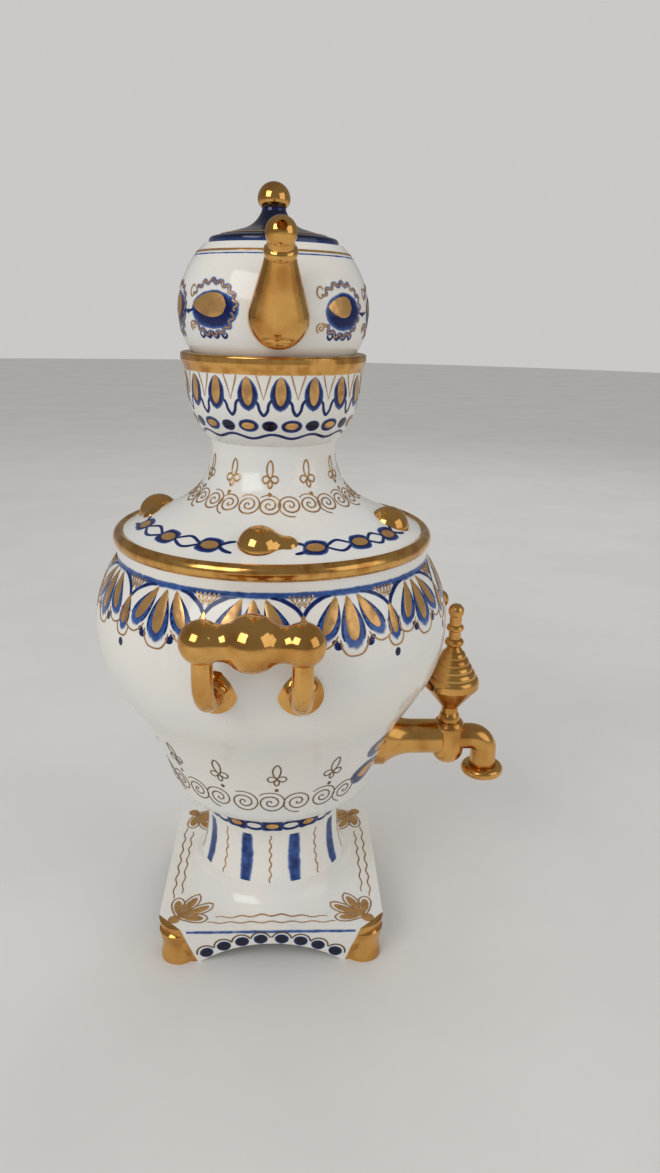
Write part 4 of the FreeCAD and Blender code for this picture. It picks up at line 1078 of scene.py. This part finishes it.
class SAMOVAR_OT_paint_plinth(Operator):
    """Paint the plinth's corner palmettes, wavy lines, dots and scallops"""

    bl_idname = "samovar.paint_plinth"
    bl_label = "Paint Plinth"

    dots = (-24.6, -18.0, -11.2, -4.0, 4.0, 11.2, 18.0, 24.6)  # places along a side
    arch_radius = 45.8
    arch_top = 8.8
    dot_gap = 2.55  # from the arch to a dot's middle
    scallop = [math.radians(165.0 - 18.75 * k) for k in range(9)]  # angles round a dot
    petals = ((-48.0, 10.6), (-16.0, 14.0), (16.0, 14.0), (48.0, 10.6))  # lean and reach
    outer_half = 0.0245  # half the lengths of the wavy lines
    inner_half = 0.0215
    edge_half = 32.0  # and of the edge's blue line
    line_steps = 60

    def execute(self, context):
        sizes = context.scene.samovar_plinth
        skin = Skin("plinth")
        blue, dark, gold, fine, brown = brushes(
            "plinth", "cobalt", "ink", "gold", "gold_lines", "brown_lines")
        for quarter in range(4):
            turn = quarter * math.pi / 2
            self.corner(skin.deck(turn, -sizes.corner, -sizes.corner), gold, fine)
            self.wavy_line(skin.deck(turn), sizes.outer_line, self.outer_half, fine)
            self.wavy_line(skin.deck(turn), sizes.inner_line, self.inner_half, fine)
            self.side(skin.flank(turn), sizes, blue, dark, brown)
        for piece in (blue, dark, gold, fine, brown):
            piece.finish("urn")
        return {"FINISHED"}

    def corner(self, place, gold, fine):
        """Four outlined gold petals fanning inward from a corner, and a dot at their root."""
        line = fine.sizes.gold_line * 1.1
        for lean, reach in self.petals:
            aim = math.radians(-45.0 + lean)
            core = moved(leaf(3.1 * MM, (reach - 2.6) * MM, 0.58, 0.5), 0.0, 2.2 * MM)
            gold.patch(place, moved(core, 0.0, 0.0, aim))
            outline = leaf(5.0 * MM, (reach + 1.2) * MM, 0.66, 0.5)
            fine.stroke(place, moved(outline, 0.0, 0.0, aim), line, closed=True)
        gold.patch(place, oval(4.6 * MM, 4.6 * MM, -1.0 * MM, -1.0 * MM))

    def wavy_line(self, place, distance, half, fine):
        """A wavy gold line along one side of the top."""
        path = []
        for k in range(self.line_steps + 1):
            x = half * (2.0 * k / self.line_steps - 1.0)
            sway = math.sin(x / (1.25 * MM) + distance / MM)
            path.append((x, -distance + 0.40 * MM * sway))
        fine.stroke(place, path, fine.sizes.gold_line, taper=0.3)

    def side(self, place, sizes, blue, dark, brown):
        """One arched side: dots along the arch, scallops over them and the edge's blue wash."""
        arcs = []
        orbit = self.arch_radius + self.dot_gap
        for x in self.dots:
            tilt = -math.asin(x / orbit)
            z = self.arch_top - self.arch_radius + orbit * math.cos(tilt)
            dot = moved(oval(5.8 * MM, 5.0 * MM, count=18), x * MM + dark.stray(), z * MM, tilt)
            dark.patch(place, dot)
            for angle in self.scallop:
                a = angle + tilt
                arcs.append((x + 3.7 * math.cos(a), z - 0.1 + 3.6 * math.sin(a)))
        brown.stroke(place, mm(arcs), brown.sizes.brown_line * 1.25)
        edge = [(self.edge_half * (2.0 * k / self.line_steps - 1.0), sizes.edge_level / MM)
                for k in range(self.line_steps + 1)]
        blue.stroke(place, mm(edge), blue.sizes.blue_line * 1.6, taper=0.2, full=0.34)


class SAMOVAR_OT_set_stage(Operator):
    """Lay the floor, hang the lamps and set up the camera"""

    bl_idname = "samovar.set_stage"
    bl_label = "Set Stage"

    key_lamp = ((-0.62, -0.72, 0.80), 0.62)  # place and size
    fill_lamp = ((0.85, -0.45, 0.50), 0.70)
    back_lamp = ((0.30, 0.85, 0.85), 0.80)
    lit_spot = (0.0, 0.0, 0.13)  # the middle of the set
    floor_sides = 64
    floor_shade = 0.955  # of the floor's darker clouds

    def execute(self, context):
        scene = context.scene
        studio = scene.samovar_studio
        tints = scene.samovar_colours
        self.lay_floor(scene, studio, tints)
        self.hang_lamp(scene, "lamp_key", *self.key_lamp, studio.key)
        self.hang_lamp(scene, "lamp_fill", *self.fill_lamp, studio.fill)
        self.hang_lamp(scene, "lamp_back", *self.back_lamp, studio.back, mirrored=False)
        self.light_surround(scene, studio, tints)
        self.stand_camera(scene, studio)
        scene.view_settings.view_transform = "Standard"
        return {"FINISHED"}

    def lay_floor(self, scene, studio, tints):
        radius = studio.floor_radius
        rim = [(radius * math.cos(angle), radius * math.sin(angle), 0.0)
               for angle in around(self.floor_sides, 0.0)]
        mesh = bpy.data.meshes.new("studio_floor")
        mesh.from_pydata(rim, [], [tuple(range(self.floor_sides))])
        finish = new_finish("studio_floor")
        cloud = finish.noise(9.0)
        darker = rgba(part * self.floor_shade for part in tints.floor)
        finish.set({
            "Base Color": finish.mix(rgba(tints.floor), darker, finish.ease(cloud, 0.35, 0.65)),
            "Roughness": cloud * 0.2 + 0.55,
        })
        mesh.materials.append(finish.owner)
        floor = bpy.data.objects.new("studio_floor", mesh)
        scene.collection.objects.link(floor)

    def hang_lamp(self, scene, name, spot, size, power, mirrored=True):
        """A square lamp that looks at the set; mirrored lets gold and glaze show it."""
        data = bpy.data.lights.new(name, "AREA")
        data.shape = "SQUARE"
        data.size = size
        data.energy = power
        lamp = bpy.data.objects.new(name, data)
        lamp.location = spot
        lamp.visible_glossy = mirrored
        aim = Vector(self.lit_spot) - Vector(spot)
        lamp.rotation_euler = aim.to_track_quat("-Z", "Y").to_euler()
        scene.collection.objects.link(lamp)

    def light_surround(self, scene, studio, tints):
        scene.world = scene.world or bpy.data.worlds.new("studio")
        finish = Finish(scene.world, "Background")
        seen = finish.node("ShaderNodeLightPath", output="Is Camera Ray")
        shine = finish.node("ShaderNodeLightPath", output="Is Glossy Ray")
        strength = seen * (studio.seen - studio.surround)
        strength = strength + shine * (studio.mirrored - studio.surround)
        finish.set({"Color": rgba(tints.sky), "Strength": strength + studio.surround})

    def stand_camera(self, scene, studio):
        data = bpy.data.cameras.new("camera")
        data.sensor_fit = "VERTICAL"
        data.sensor_height = 36.0
        data.lens = studio.lens
        data.clip_start = 0.01
        camera = bpy.data.objects.new("camera", data)
        camera.matrix_world = (
            Matrix.Translation(studio.eye)
            @ Matrix.Rotation(-studio.yaw, 4, "Z")
            @ Matrix.Rotation(math.pi / 2 - studio.pitch, 4, "X")
            @ Matrix.Rotation(studio.roll, 4, "Z"))
        scene.collection.objects.link(camera)
        scene.camera = camera


PROPERTY_GROUPS = (
    ("samovar_colours", SamovarColours),
    ("samovar_brush", SamovarBrush),
    ("samovar_teapot", SamovarTeapot),
    ("samovar_crown", SamovarCrown),
    ("samovar_cover", SamovarCover),
    ("samovar_urn", SamovarUrn),
    ("samovar_plinth", SamovarPlinth),
    ("samovar_studio", SamovarStudio),
)
OPERATORS = (
    SAMOVAR_OT_glaze_porcelain,
    SAMOVAR_OT_gild_fittings,
    SAMOVAR_OT_paint_lid,
    SAMOVAR_OT_paint_teapot,
    SAMOVAR_OT_paint_crown,
    SAMOVAR_OT_paint_cover,
    SAMOVAR_OT_paint_urn_fans,
    SAMOVAR_OT_paint_urn_foot,
    SAMOVAR_OT_paint_stem,
    SAMOVAR_OT_paint_plinth,
    SAMOVAR_OT_set_stage,
)


class SAMOVAR_PT_set(Panel):
    """The steps that finish the set, in order"""

    bl_idname = "SAMOVAR_PT_set"
    bl_label = "Samovar Set"
    bl_space_type = "VIEW_3D"
    bl_region_type = "UI"
    bl_category = "Samovar"

    def draw(self, context):
        for step in OPERATORS:
            self.layout.operator(step.bl_idname)


def register():
    for name, group in PROPERTY_GROUPS:
        bpy.utils.register_class(group)
        setattr(bpy.types.Scene, name, PointerProperty(type=group))
    for step in OPERATORS:
        bpy.utils.register_class(step)
    bpy.utils.register_class(SAMOVAR_PT_set)


def unregister():
    bpy.utils.unregister_class(SAMOVAR_PT_set)
    for step in reversed(OPERATORS):
        bpy.utils.unregister_class(step)
    for name, group in reversed(PROPERTY_GROUPS):
        delattr(bpy.types.Scene, name)
        bpy.utils.unregister_class(group)


def main():
    register()
    bpy.ops.samovar.glaze_porcelain()
    bpy.ops.samovar.gild_fittings()
    bpy.ops.samovar.paint_lid()
    bpy.ops.samovar.paint_teapot()
    bpy.ops.samovar.paint_crown()
    bpy.ops.samovar.paint_cover()
    bpy.ops.samovar.paint_urn_fans()
    bpy.ops.samovar.paint_urn_foot()
    bpy.ops.samovar.paint_stem()
    bpy.ops.samovar.paint_plinth()
    bpy.ops.samovar.set_stage()


if __name__ == "__main__":
    main()
